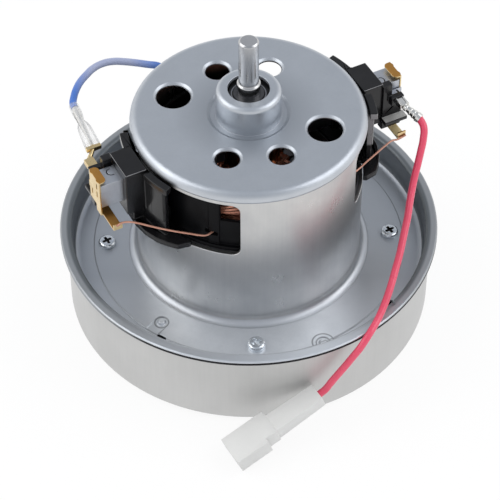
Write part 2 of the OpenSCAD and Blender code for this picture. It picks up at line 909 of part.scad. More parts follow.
// Centre line of the outer layer: round-cornered turns that step outwards along the pole
wire_first = coil_in + wire_d / 2 + slip;
wire_path = [for (i = [0 : wire_turns * wire_steps])
    let (a = 360 * i / wire_steps, r = wire_first + wire_pitch * i / wire_steps, x = turned(cos(a), wire_x))
    [x, sqrt(r * r - x * x), stack_mid + turned(sin(a), wire_z)]];
function least_gap(path, d, apart) =
    min([for (i = [0 : len(path) - 1])
        for (j = [i + apart : 1 : len(path) - 1])
            norm(path[i] - path[j])]) - d;

module field_winding() {
    echo(field_winding_least_gap = least_gap(wire_path, wire_d, wire_steps / 2));
    tube(wire_path, wire_d, 6, [0, 1, 0.2]);
}

module field_coil_front() {
    color("peru")
        rotate([0, 0, 180])
            coil_body();
}

module field_coil_rear() {
    color("peru")
        coil_body();
}

module field_winding_front() {
    color("chocolate")
        rotate([0, 0, 180])
            field_winding();
}

module field_winding_rear() {
    color("chocolate")
        field_winding();
}

module top_insulator() {
    wall_r = insulator_wall_r - insulator_wall_t;
    low = stack_top + insulator_t / 2;
    low_top = stack_top + insulator_wall_h;
    color("black")
        difference() {
            union() {
                ring(stator_r - insulator_gap, insulator_in, stack_top, insulator_t);
                for (at = tower_poles) {
                    difference() {
                        sector(
                            wall_r, insulator_wall_r, low, tower_top - low, at[0] - tower_to, 2 * tower_to);
                        sector(wall_r - 1, insulator_wall_r + 1, low_top, tower_top, at[0] - at[1],
                            at[1] + at[2]);
                    }
                    for (from = [at[2] + rib_in, -at[1] - rib_in - tower_rib_turn])
                        sector(insulator_wall_r - rib_in, insulator_wall_r + tower_rib, low,
                            tower_top - rib_in - low, at[0] + from, tower_rib_turn);
                }
            }
            for (at = wire_slots)
                sector(wall_r - 1, insulator_wall_r + 2, at[1] - wire_slot_h / 2, wire_slot_h,
                    at[0] - wire_slot_turn / 2, wire_slot_turn);
        }
}

module bottom_insulator() {
    color("black")
        ring(stator_r - insulator_gap, insulator_in, stack_low - insulator_t, insulator_t);
}

module shaft() {
    color("lightgray")
        rotate_extrude()
            polygon([
                [0, shaft_low],
                [journal_r - shaft_chamfer, shaft_low],
                [journal_r, shaft_low + shaft_chamfer],
                [journal_r, core_low],
                [shaft_core_d / 2, core_low],
                [shaft_core_d / 2, core_top],
                [journal_r, core_top],
                [journal_r, step_z],
                [shaft_end_r, step_z + shaft_chamfer],
                [shaft_end_r, shaft_top - shaft_chamfer],
                [shaft_end_r - shaft_chamfer, shaft_top],
                [0, shaft_top]]);
}

module armature_core() {
    slot_at = armature_r - arm_slot_at;
    color("gray")
        translate([0, 0, stack_low])
            linear_extrude(stack_top - stack_low)
                difference() {
                    circle(r = armature_r);
                    circle(r = shaft_core_d / 2 + press);
                    for (i = [0 : bars_n - 1])
                        rotate(360 * i / bars_n)
                            union() {
                                translate([slot_at, 0])
                                    circle(r = arm_slot_r, $fn = fine);
                                translate([slot_at, -arm_mouth / 2])
                                    square([arm_slot_at + 1, arm_mouth]);
                            }
                }
}

module armature_insulators() {
    color("darkolivegreen")
        for (z = [stack_low - arm_fibre, stack_top])
            ring(armature_r - arm_slot_at - arm_slot_r, shaft_core_d / 2 + press, z, arm_fibre);
}

// A ring of end turns with round outer edges
module end_turns(z, h) {
    translate([0, 0, z])
        rotate_extrude()
            polygon(concat(
                [[arm_end_in, 0], [arm_end_out, 0]],
                arc([arm_end_out - arm_end_round, h - arm_end_round], arm_end_round, 0, 90),
                arc([arm_end_in + arm_end_round, h - arm_end_round], arm_end_round, 90, 180)));
}

module armature_winding() {
    top = stack_top + arm_fibre;
    low = stack_low - arm_fibre;
    color("sienna")
        union() {
            end_turns(top, arm_end_top);
            translate([0, 0, low])
                mirror([0, 0, 1])
                    end_turns(0, arm_end_low);
            for (i = [0 : bars_n - 1])
                polar(armature_r - arm_slot_at, 360 * i / bars_n, low - eps)
                    cylinder(r = arm_wire_r, h = top - low + 2 * eps, $fn = fine);
        }
}

module commutator_hub() {
    color("saddlebrown")
        ring(comm_r - bar_t, shaft_core_d / 2 + press, comm_low, comm_top - comm_low);
}

module commutator_bars() {
    step = 360 / bars_n;
    span = step - bar_gap;
    color("orange")
        for (i = [0 : bars_n - 1])
            union() {
                sector(comm_r - bar_t, comm_r, comm_low, comm_top - comm_low, i * step - span / 2, span);
                sector(comm_r - eps, comm_r + riser_out, comm_low, riser_h, i * step - span / 4, span / 2);
            }
}

module fan_back_plate() {
    color("silver")
        ring(fan_r, journal_r + press, fan_plate_low, fan_t);
}

// Height of the shroud's lower face at radius r
function fan_low_at(r) =
    fan_low_eye + (fan_low_rim - fan_low_eye) * (r - fan_eye_r) / (fan_r - fan_eye_r);

module fan_shroud() {
    color("silver")
        rotate_extrude()
            polygon([
                [fan_eye_r, fan_low_at(fan_eye_r)],
                [fan_r, fan_low_at(fan_r)],
                [fan_r, fan_low_at(fan_r) + fan_t],
                [fan_eye_r, fan_low_at(fan_eye_r) + fan_t]]);
}

module fan_blades() {
    first = fan_eye_r + blade_edge;
    last = fan_r - blade_edge;
    color("silver")
        for (i = [0 : fan_blades_n - 1])
            rotate([0, 0, 360 * i / fan_blades_n])
                difference() {
                    linear_extrude(fan_plate_low)
                        blade_plan(first, last, blade_bend_r, blade_offset, blade_t);
                    rotate_extrude()
                        polygon([
                            [0, -1],
                            [fan_r + 1, -1],
                            [fan_r + 1, fan_low_at(fan_r + 1) + fan_t],
                            [0, fan_low_at(0) + fan_t]]);
                }
}

module fan_nut() {
    low = nut_top - nut_h;
    color("darkgray")
        difference() {
            intersection() {
                translate([0, 0, low])
                    cylinder(r = nut_r, h = nut_h, $fn = 6);
                translate([0, 0, low])
                    cylinder(r1 = nut_r - nut_chamfer, r2 = nut_r - nut_chamfer + nut_h, h = nut_h);
            }
            translate([0, 0, low - 1])
                cylinder(r = journal_r + press, h = nut_h + 2);
        }
}

module fan_washers() {
    color("darkgray")
        for (z = [nut_top, plate_top])
            ring(fan_washer_r, journal_r + press, z, fan_washer_t);
}

module fan_spacer() {
    color("darkgray")
        ring(spacer_r, journal_r + press, spacer_low, low_brg_low - spacer_low);
}

// The brush gear below is drawn on the +X side and turned half a circle for the left side
// Pieces of the holder reach a little way into each other, by sink, so that no faces coincide
module brush_holder(ear_up, ear_down) {
    sink = 0.5;
    bore_w = box_w + 2 * slip;
    bore_low = box_low - slip;
    bore_h = box_h + 2 * slip;
    wing_r = wing_in + wing_t;
    last = len(ledge_edge) - 1;
    color("black")
        difference() {
            union() {
                translate([wing_in + sink, -block_w / 2, block_low])
                    cube([block_out - wing_in - sink, block_w, block_top - block_low]);
                translate([neck_in, -neck_w / 2, bore_low - neck_under])
                    cube([wing_in - neck_in + 2 * sink, neck_w, neck_top - bore_low + neck_under]);
                translate([clip_in, -neck_w / 2 + sink, neck_top - 1])
                    cube([clip_out - clip_in, neck_w - 2 * sink, clip_top - neck_top + 1]);
                sector(shelf_in, wing_in + wing_t / 2, shelf_low, shelf_t,
                    sink - wing_turn, 2 * (wing_turn - sink));
                sector(wing_in, wing_r, ledge_low + sink, wing_top - ledge_low - sink,
                    -wing_turn, 2 * wing_turn);
                translate([0, 0, ledge_low])
                    linear_extrude(ledge_t)
                        difference() {
                            polygon(concat([[0, 0]],
                                [for (i = [last : -1 : 0])
                                    ledge_edge[i][0] * [cos(ledge_edge[i][1]), -sin(ledge_edge[i][1])]],
                                [for (i = [1 : last])
                                    ledge_edge[i][0] * [cos(ledge_edge[i][1]), sin(ledge_edge[i][1])]]));
                            circle(r = can_r + slip);
                        }
                translate([wing_in + sink, -web_w / 2, ledge_low + sink])
                    cube([web_out - wing_in - sink, web_w, block_low - ledge_low + sink]);
                for (ear = [ear_up, [-ear_down[1], -ear_down[0]]])
                    sector(wing_in + sink, ear_r, ear_low, ear_top - ear_low, ear[0], ear[1] - ear[0]);
                for (from = [tongue_from, -tongue_to])
                    sector(wing_r - sink, wing_r + tongue_t, tongue_low, ear_low - tongue_low + sink,
                        from, tongue_to - tongue_from);
                translate([0, -cheek_in_y, 0])
                    rotate([90, 0, 0])
                        linear_extrude(cheek_y - cheek_in_y)
                            polygon([
                                [block_out - sink, cheek_low],
                                [guard_out, cheek_low],
                                [guard_out, guard_top],
                                [cheek_out, guard_top],
                                [cheek_out, cheek_top],
                                [block_out - sink, cheek_top]]);
                translate([block_out - 2 * sink, -rack_y, rack_low])
                    cube([rack_out - block_out + 2 * sink, rack_y - cheek_in_y - sink, rack_t]);
                translate([shroud_in, -shroud_y, shroud_low])
                    cube([shroud_out - shroud_in, shroud_y - cheek_y + sink, shroud_top - shroud_low]);
            }
            translate([neck_in - 1, -bore_w / 2, bore_low])
                cube([block_out - neck_in + 2, bore_w, bore_h]);
            translate([tab_at - tab_w / 2 - slip, -shroud_y - 1, tab_z - slip])
                cube([tab_w + 2 * slip, shroud_y, tab_t + 2 * slip]);
        }
}

module brush_holder_right() {
    brush_holder(right_far_ear, near_ear);
}

module brush_holder_left() {
    rotate([0, 0, 180])
        brush_holder(near_ear, left_far_ear);
}

// Rectangular steel tube that guides the brush, with a half-round cut in its top
module brush_box() {
    color("slategray")
        difference() {
            translate([box_in, -box_w / 2, box_low])
                cube([box_out - box_in, box_w, box_h]);
            translate([box_in - 1, -box_w / 2 + box_t, box_low + box_t])
                cube([box_out - box_in + 2, box_w - 2 * box_t, box_h - 2 * box_t]);
            translate(cut_at)
                sector(cut_r - cut_w, cut_r, box_top - 1, 2, -cut_turn / 2, cut_turn);
        }
}

module brush_box_right() {
    brush_box();
}

module brush_box_left() {
    rotate([0, 0, 180])
        brush_box();
}

// Brass strip: end plate, folded top tab, hook for the field wire and tab for the lead
module brush_terminal(side, hook) {
    plate_out = box_out + brass_t;
    leg_y = side > 0 ? end_w / 2 - hook_leg_w : -end_w / 2;
    strip_y = side > 0 ? end_w / 2 - hook_leg_w : -hook_reach;
    strip_l = hook_reach - end_w / 2 + hook_leg_w;
    color("khaki")
        difference() {
            union() {
                translate([box_out, -end_w / 2, end_low])
                    cube([brass_t, end_w, end_top - end_low]);
                translate([plate_out - fold_l, 0, end_top - brass_t])
                    linear_extrude(brass_t)
                        union() {
                            translate([fold_corner, -end_w / 2])
                                square([fold_l - fold_corner, end_w]);
                            translate([0, -end_w / 2 + fold_corner])
                                square([fold_l, end_w - 2 * fold_corner]);
                            for (y = [-1, 1])
                                translate([fold_corner, y * (end_w / 2 - fold_corner)])
                                    circle(r = fold_corner, $fn = fine);
                        }
                translate([box_out, leg_y, hook[1]])
                    cube([brass_t, hook_leg_w, end_low - hook[1] + 1]);
                translate([hook[0], leg_y, hook[1]])
                    cube([plate_out - hook[0], hook_leg_w, brass_t]);
                translate([hook[0], strip_y, hook[1]])
                    cube([hook_w, strip_l, brass_t]);
                translate([hook[0], side > 0 ? hook_reach - brass_t : -hook_reach, hook[1]])
                    cube([hook_w, brass_t, hook_up]);
                translate([tab_at - tab_w / 2, -end_w / 2 - brass_t, tab_z + tab_t - bracket_h])
                    cube([plate_out - tab_at + tab_w / 2, brass_t, bracket_h]);
                translate([box_out, -end_w / 2 - brass_t, tab_z + tab_t - bracket_h])
                    cube([brass_t, 2 * brass_t, bracket_h]);
                translate([tab_at - tab_w / 2, -tab_reach, tab_z])
                    cube([tab_w, tab_reach - end_w / 2, tab_t]);
            }
            for (at = slits)
                translate([box_out - 1, at[0] - slit_w / 2, end_low + at[1]])
                    cube([brass_t + 2, slit_w, slit_h]);
        }
}

module brush_terminal_right() {
    brush_terminal(-1, right_hook);
}

module brush_terminal_left() {
    rotate([0, 0, 180])
        brush_terminal(1, left_hook);
}

module carbon_brush() {
    color("darkslategray")
        difference() {
            translate([comm_r / 2, -brush_w / 2, brush_z - brush_h / 2])
                cube([brush_out - comm_r / 2, brush_w, brush_h]);
            translate([0, 0, brush_z - brush_h])
                cylinder(r = brush_in, h = 2 * brush_h);
        }
}

module carbon_brush_right() {
    carbon_brush();
}

module carbon_brush_left() {
    rotate([0, 0, 180])
        carbon_brush();
}

spring_low = brush_out + spring_seat + spring_wire / 2;
spring_high = box_out - spring_seat - spring_wire / 2;
spring_path = [for (i = [0 : spring_turns * spring_steps])
    let (a = 360 * i / spring_steps)
    [spring_low + (spring_high - spring_low) * i / (spring_turns * spring_steps),
        spring_r * cos(a), brush_z + spring_r * sin(a)]];

module brush_spring() {
    echo(brush_spring_least_gap = least_gap(spring_path, spring_wire, spring_steps / 2));
    color("gainsboro")
        tube(spring_path, spring_wire, 6, [1, 0, 0]);
}

module brush_spring_right() {
    brush_spring();
}

module brush_spring_left() {
    rotate([0, 0, 180])
        brush_spring();
}

module jumper_wire_left() {
    color("salmon")
        tube(left_jumper_route, jumper_d);
}

module jumper_wire_right() {
    color("salmon")
        tube(right_jumper_route, jumper_d);
}

// A cone between two points
module rod(a, b, r1, r2) {
    run = b - a;
    translate(a)
        rotate([0, atan2(norm([run[0], run[1]]), run[2]), atan2(run[1], run[0])])
            cylinder(r1 = r1, r2 = r2, h = norm(run), $fn = fine);
}

// Receptacle that slips over the right terminal's lead tab
module receptacle() {
    start = shroud_y + receptacle_gap;
    mid_z = tab_z + tab_t / 2;
    translate([tab_at - receptacle_w / 2, -start - receptacle_l, mid_z - receptacle_t / 2])
        cube([receptacle_w, receptacle_l, receptacle_t]);
}

// Slot in a receptacle for the tab
module tab_slot() {
    translate([tab_at - tab_w / 2 - slip, -tab_reach - slip, tab_z - slip])
        cube([tab_w + 2 * slip, tab_reach, tab_t + 2 * slip]);
}

barrel_start = [tab_at, -shroud_y - receptacle_gap - receptacle_l + barrel_sink, tab_z + tab_t / 2];

module red_terminal() {
    out = red_route[1] - red_route[0];
    bore_r = lead_d / 2 + slip;
    color("silver")
        difference() {
            union() {
                receptacle();
                rod(barrel_start, red_route[0], barrel_root_r, barrel_r);
            }
            tab_slot();
            rod(red_route[0] - slip * out / norm(out), red_route[1], bore_r, bore_r);
        }
}

module blue_terminal() {
    start = [-barrel_start[0], -barrel_start[1], barrel_start[2]];
    run = blue_route[0] - sleeve_mouth;
    color("khaki")
        difference() {
            union() {
                rotate([0, 0, 180])
                    receptacle();
                rod(start, sleeve_mouth, barrel_root_r, bar_rod_r);
                translate(sleeve_mouth - sleeve_bar / 2)
                    cube(sleeve_bar);
                rod(sleeve_mouth, blue_route[0] - lead_gap * run / norm(run),
                    bar_rod_r, sleeve_barrel_r);
            }
            rotate([0, 0, 180])
                tab_slot();
        }
}

// Clear sleeve over the barrel, narrow where it grips the lead
module blue_sleeve() {
    run = blue_route[0] - sleeve_mouth;
    neck = lead_d / 2 + slip;
    end = norm(run) + sleeve_over;
    mouth = sleeve_bar[1];
    color("white", 0.5)
        translate(sleeve_mouth)
            rotate([0, atan2(norm([run[0], run[1]]), run[2]), atan2(run[1], run[0])])
                rotate_extrude($fn = fine)
                    polygon([
                        [sleeve_mouth_r - sleeve_t, mouth],
                        [sleeve_mouth_r, mouth],
                        [sleeve_mouth_r - sleeve_taper, sleeve_shoulder],
                        [sleeve_tip_r, sleeve_shoulder + sleeve_fall],
                        [sleeve_tip_r, end],
                        [neck, end],
                        [neck, sleeve_shoulder + sleeve_fall],
                        [sleeve_mouth_r - sleeve_taper - sleeve_t, sleeve_shoulder]]);
}

module red_lead() {
    color("crimson")
        tube(red_route, lead_d);
}

module blue_lead() {
    color("royalblue")
        tube(blue_route, lead_d);
}

// One-way connector housing along +X, from the lead's end to the mouth
module connector_body() {
    head_at = plug_l - plug_head_l;
    difference() {
        union() {
            translate([0, -plug_tail_w / 2, -plug_tail_t / 2])
                cube([head_at + 1, plug_tail_w, plug_tail_t]);
            translate([head_at, 0, 0])
                rotate([90, 0, 90])
                    linear_extrude(plug_head_l)
                        round_rect(plug_head_w, plug_t, plug_edge);
        }
        translate([head_at + plug_floor, -plug_head_w / 2 + plug_wall, -plug_t / 2 + plug_wall])
            cube([plug_head_l, plug_head_w - 2 * plug_wall, plug_t - 2 * plug_wall]);
        translate([head_at - 1, plug_tail_w / 2 + plug_ledge, -plug_t])
            cube([plug_shoulder + 1, plug_head_w, 2 * plug_t]);
    }
}

module contact_blade() {
    head_at = plug_l - plug_head_l;
    translate([head_at + plug_floor, -contact_w / 2, -contact_t / 2])
        cube([plug_head_l - plug_floor - contact_back, contact_w, contact_t]);
}

module red_connector() {
    color("white")
        translate(red_plug_at)
            rotate(red_plug_turn)
                connector_body();
}

module red_contact() {
    color("silver")
        translate(red_plug_at)
            rotate(red_plug_turn)
                contact_blade();
}

module blue_connector() {
    color("white")
        translate(blue_plug_at)
            rotate(blue_plug_turn)
                connector_body();
}

module blue_contact() {
    color("silver")
        translate(blue_plug_at)
            rotate(blue_plug_turn)
                contact_blade();
}

motor_frame();
end_bracket();
fan_cover();
bearing_bridge();
diffuser();
flange_screws();
top_bearing_outer();
top_bearing_shields();
wave_washer();
bottom_bearing_outer();
bottom_bearing_shields();
stator_core();
field_coil_front();
field_coil_rear();
field_winding_front();
field_winding_rear();
top_insulator();
bottom_insulator();
brush_holder_left();
brush_holder_right();
brush_box_left();
brush_box_right();
brush_terminal_left();
brush_terminal_right();
carbon_brush_left();
carbon_brush_right();
brush_spring_left();
brush_spring_right();
jumper_wire_left();
jumper_wire_right();
red_terminal();
red_lead();
red_connector();
red_contact();
blue_terminal();
blue_sleeve();
blue_lead();
blue_connector();
blue_contact();
shaft();
armature_core();
armature_winding();
armature_insulators();
commutator_hub();
commutator_bars();
top_bearing_inner();
bottom_bearing_inner();
top_bearing_balls();
bottom_bearing_balls();
top_bearing_cage();
bottom_bearing_cage();
fan_back_plate();
fan_blades();
fan_shroud();
fan_nut();
fan_washers();
fan_spacer();
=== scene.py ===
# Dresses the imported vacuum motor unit: drawn steel can and cap, fan drum, brush gear, windings and leads.
import json
import math

import bpy
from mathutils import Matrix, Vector


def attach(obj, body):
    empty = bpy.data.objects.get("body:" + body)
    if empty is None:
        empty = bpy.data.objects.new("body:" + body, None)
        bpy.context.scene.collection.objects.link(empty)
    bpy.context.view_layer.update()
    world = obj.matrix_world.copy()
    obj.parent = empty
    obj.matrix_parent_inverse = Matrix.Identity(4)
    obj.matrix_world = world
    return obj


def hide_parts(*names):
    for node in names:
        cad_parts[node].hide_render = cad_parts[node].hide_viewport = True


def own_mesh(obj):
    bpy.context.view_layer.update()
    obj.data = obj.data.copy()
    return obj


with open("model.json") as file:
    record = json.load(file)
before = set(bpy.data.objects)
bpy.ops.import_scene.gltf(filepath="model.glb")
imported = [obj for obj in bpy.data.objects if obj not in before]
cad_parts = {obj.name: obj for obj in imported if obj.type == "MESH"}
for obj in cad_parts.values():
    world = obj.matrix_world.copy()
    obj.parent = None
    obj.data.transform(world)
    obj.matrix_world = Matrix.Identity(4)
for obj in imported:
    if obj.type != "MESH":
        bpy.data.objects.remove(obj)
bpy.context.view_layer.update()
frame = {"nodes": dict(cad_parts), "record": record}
nodes = frame["nodes"]
body_of_node = {n: b for b, ns in frame["record"]["behaviour"]["bodies"].items() for n in ns}
slot_of_node = {p["node"]: p["material_slot"] for p in frame["record"]["subparts"]}
MM = 0.001


def linked(name, data):
    piece = bpy.data.objects.new(name, data)
    bpy.context.scene.collection.objects.link(piece)
    return piece


def facing(at, target):
    """The turn of a camera or lamp that looks from one point to another."""
    return (Vector(target) - Vector(at)).to_track_quat("-Z", "Y").to_euler()


def on_ring(radius, angle):
    """A point in plan on a ring about the motor's axis; the angle is in degrees."""
    turn = math.radians(angle)
    return radius * math.cos(turn), radius * math.sin(turn)


# Camera at the photograph's viewing angle

CAMERA_AT = (-0.2372, -0.4556, 0.5638)
CAMERA_AIM = (0, 0, 0.017214)
camera_data = bpy.data.cameras.new("photo_camera")
camera_data.lens = 149.5
camera_data.sensor_width = 36
camera_data.shift_x = 0.0026
camera_data.clip_end = 30
camera = linked("photo_camera", camera_data)
camera.location = CAMERA_AT
camera.rotation_euler = facing(CAMERA_AT, CAMERA_AIM)
bpy.context.scene.camera = camera


# Helpers for modelling

def deselect():
    bpy.ops.object.select_all(action="DESELECT")


def activate(piece):
    deselect()
    piece.select_set(True)
    bpy.context.view_layer.objects.active = piece


def edit(piece):
    activate(piece)
    bpy.ops.object.mode_set(mode="EDIT")
    bpy.ops.mesh.select_all(action="SELECT")


def done():
    bpy.ops.object.mode_set(mode="OBJECT")


def pick_end(piece, x):
    """Selects the faces that look along +X at x, in millimetres, and stays in edit mode."""
    bpy.ops.mesh.select_all(action="DESELECT")
    bpy.ops.mesh.select_mode(type="FACE")
    bpy.ops.object.mode_set(mode="OBJECT")
    for face in piece.data.polygons:
        face.select = face.normal.x > 0.9 and abs(face.center.x - x * MM) < 0.01 * MM
    bpy.ops.object.mode_set(mode="EDIT")


def use(piece, kind, **settings):
    """Adds a modifier and applies it."""
    activate(piece)
    modifier = piece.modifiers.new(kind.lower(), kind)
    for name, value in settings.items():
        setattr(modifier, name, value)
    bpy.ops.object.modifier_apply(modifier=modifier.name)


def smooth(piece, angle):
    activate(piece)
    bpy.ops.object.shade_smooth_by_angle(angle=math.radians(angle))


def settle(piece):
    """Puts the piece's place into its mesh."""
    activate(piece)
    bpy.ops.object.transform_apply(location=True, rotation=True, scale=True)


def stand_for(piece, *names):
    """The piece stands for these CAD nodes and moves as they do."""
    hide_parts(*names)
    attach(piece, body_of_node[names[0]])


def paint(piece, *materials):
    piece.data.materials.clear()
    for material in materials:
        piece.data.materials.append(material)


FLAT_WITHIN = math.radians(0.6)
EDGE_FROM = math.radians(28)


def softened(node, name, width, segments=2, material=None):
    """A copy of a CAD node with its edges broken by a small bevel."""
    piece = linked(name, nodes[node].data.copy())
    edit(piece)
    bpy.ops.mesh.remove_doubles(threshold=0.002 * MM)
    bpy.ops.mesh.dissolve_limited(angle_limit=FLAT_WITHIN)
    done()
    use(piece, "BEVEL", width=width * MM, segments=segments, limit_method="ANGLE", angle_limit=EDGE_FROM,
        use_clamp_overlap=False, harden_normals=False, miter_outer="MITER_ARC")
    smooth(piece, 34)
    use(piece, "WEIGHTED_NORMAL", mode="FACE_AREA", weight=80, keep_sharp=True)
    stand_for(piece, node)
    if material:
        paint(piece, material)
    return piece


# Shader groups that several finishes share

def group(name, inputs, outputs):
    tree = bpy.data.node_groups.new(name, "ShaderNodeTree")
    for label, kind, value in inputs:
        socket = tree.interface.new_socket(label, in_out="INPUT", socket_type=kind)
        if value is not None:
            socket.default_value = value
    for label, kind in outputs:
        tree.interface.new_socket(label, in_out="OUTPUT", socket_type=kind)
    return tree, tree.nodes.new("NodeGroupInput"), tree.nodes.new("NodeGroupOutput")


def noise_node(tree, detail, roughness):
    node = tree.nodes.new("ShaderNodeTexNoise")
    node.inputs["Detail"].default_value = detail
    node.inputs["Roughness"].default_value = roughness
    return node


def ranged(tree, value, low, high, to_low=0.0, to_high=1.0):
    """Takes a value from one range to another, held at both ends."""
    node = tree.nodes.new("ShaderNodeMapRange")
    for label, number in (("From Min", low), ("From Max", high), ("To Min", to_low), ("To Max", to_high)):
        node.inputs[label].default_value = number
    tree.links.new(value, node.inputs["Value"])
    return node.outputs["Result"]


def worked_out(tree, operation, *values):
    """A math node on numbers and sockets."""
    node = tree.nodes.new("ShaderNodeMath")
    node.operation = operation
    for socket, value in zip(node.inputs, values):
        if hasattr(value, "is_output"):
            tree.links.new(value, socket)
        else:
            socket.default_value = value
    return node.outputs[0]


def make_wander():
    """Slow cloudy change over a surface, from 0 to 1."""
    tree, come, go = group("cloudy_change", [("Vector", "NodeSocketVector", None),
                                             ("Scale", "NodeSocketFloat", 60.0)],
                           [("Amount", "NodeSocketFloat")])
    noise = noise_node(tree, 5, 0.55)
    tree.links.new(come.outputs["Vector"], noise.inputs["Vector"])
    tree.links.new(come.outputs["Scale"], noise.inputs["Scale"])
    tree.links.new(ranged(tree, noise.outputs["Fac"], 0.3, 0.7), go.inputs["Amount"])
    return tree


def make_grain():
    """Fine streaks along one direction: the vector arrives already stretched."""
    tree, come, go = group("rolled_grain", [("Vector", "NodeSocketVector", None),
                                            ("Scale", "NodeSocketFloat", 900.0)],
                           [("Amount", "NodeSocketFloat")])
    noise = noise_node(tree, 3, 0.7)
    tree.links.new(come.outputs["Vector"], noise.inputs["Vector"])
    tree.links.new(come.outputs["Scale"], noise.inputs["Scale"])
    tree.links.new(noise.outputs["Fac"], go.inputs["Amount"])
    return tree


def make_specks():
    """Small scattered spots: pits in plating, dust on plastic."""
    tree, come, go = group("fine_specks", [("Vector", "NodeSocketVector", None),
                                           ("Scale", "NodeSocketFloat", 900.0),
                                           ("Size", "NodeSocketFloat", 0.22)],
                           [("Amount", "NodeSocketFloat")])
    cells = tree.nodes.new("ShaderNodeTexVoronoi")
    spot = tree.nodes.new("ShaderNodeMapRange")
    spot.inputs["To Min"].default_value = 1.0
    spot.inputs["To Max"].default_value = 0.0
    tree.links.new(come.outputs["Vector"], cells.inputs["Vector"])
    tree.links.new(come.outputs["Scale"], cells.inputs["Scale"])
    tree.links.new(cells.outputs["Distance"], spot.inputs["Value"])
    tree.links.new(come.outputs["Size"], spot.inputs["From Max"])
    tree.links.new(spot.outputs["Result"], go.inputs["Amount"])
    return tree


WANDER = make_wander()
GRAIN = make_grain()
SPECKS = make_specks()


def place_group(tree, which, vector, **values):
    node = tree.nodes.new("ShaderNodeGroup")
    node.node_tree = which
    tree.links.new(vector, node.inputs["Vector"])
    for label, value in values.items():
        node.inputs[label].default_value = value
    return node.outputs["Amount"]


def mixed(tree, factor, a, b):
    """A colour between a and b; each is a colour or a socket."""
    node = tree.nodes.new("ShaderNodeMix")
    node.data_type = "RGBA"
    tree.links.new(factor, node.inputs["Factor"])
    for label, value in (("A", a), ("B", b)):
        socket = next(s for s in node.inputs if s.name == label and s.type == "RGBA")
        if hasattr(value, "is_output"):
            tree.links.new(value, socket)
        else:
            socket.default_value = (*value, 1)
    return next(s for s in node.outputs if s.type == "RGBA")


def new_material(name):
    material = bpy.data.materials.new(name)
    material.use_nodes = True
    tree = material.node_tree
    place = tree.nodes.new("ShaderNodeTexCoord").outputs["Object"]
    return material, tree, tree.nodes["Principled BSDF"], place


def stretched(tree, place, scale):
    node = tree.nodes.new("ShaderNodeMapping")
    node.inputs["Scale"].default_value = scale
    tree.links.new(place, node.inputs["Vector"])
    return node.outputs["Vector"]


def bumped(tree, shader, height, strength, distance):
    node = tree.nodes.new("ShaderNodeBump")
    node.inputs["Strength"].default_value = strength
    node.inputs["Distance"].default_value = distance
    tree.links.new(height, node.inputs["Height"])
    tree.links.new(node.outputs["Normal"], shader.inputs["Normal"])


def roughened(tree, shader, amount, low, high):
    tree.links.new(ranged(tree, amount, 0, 1, low, high), shader.inputs["Roughness"])


def plan_distance(tree, place, centre):
    """Distance in plan from a point given in millimetres."""
    flat = tree.nodes.new("ShaderNodeVectorMath")
    flat.operation = "MULTIPLY"
    flat.inputs[1].default_value = (1, 1, 0)
    tree.links.new(place, flat.inputs[0])
    far = tree.nodes.new("ShaderNodeVectorMath")
    far.operation = "DISTANCE"
    far.inputs[1].default_value = (centre[0] * MM, centre[1] * MM, 0)
    tree.links.new(flat.outputs["Vector"], far.inputs[0])
    return far.outputs["Value"]


def ring_mark(tree, place, centre, radius, half_width):
    """1 on a thin ring about a point in plan, 0 away from it; sizes in millimetres."""
    off = worked_out(tree, "SUBTRACT", plan_distance(tree, place, centre), radius * MM)
    return ranged(tree, worked_out(tree, "ABSOLUTE", off), 0.3 * half_width * MM, half_width * MM, 1, 0)


def inwards(tree, place, colour, inner_colour, inner_r, outer_r):
    """Takes a second colour towards the motor's axis, between two radii in millimetres: here, painted shade."""
    near = ranged(tree, plan_distance(tree, place, (0, 0)), inner_r * MM, outer_r * MM, 1, 0)
    return mixed(tree, near, colour, inner_colour)


def faded(tree, place, colour, aim, direction, begins, ends, *inner):
    """Takes a second colour along a direction, between two distances in millimetres.

    What may follow is a third colour, which the second one takes towards the axis, and its two radii. Here every fade
    is painted light or shade.
    """
    along = tree.nodes.new("ShaderNodeVectorMath")
    along.operation = "DOT_PRODUCT"
    along.inputs[1].default_value = direction
    tree.links.new(place, along.inputs[0])
    share = ranged(tree, along.outputs["Value"], begins * MM, ends * MM)
    if inner:
        aim = inwards(tree, place, aim, *inner)
    return mixed(tree, share, colour, aim)


CLOUD_SHARE, STREAK_SHARE = 0.55, 0.45
PIT_SCALE, PIT_KEEPS = 1400.0, 0.55
DUST_SCALE, DUST_SIZE = 700.0, 0.16


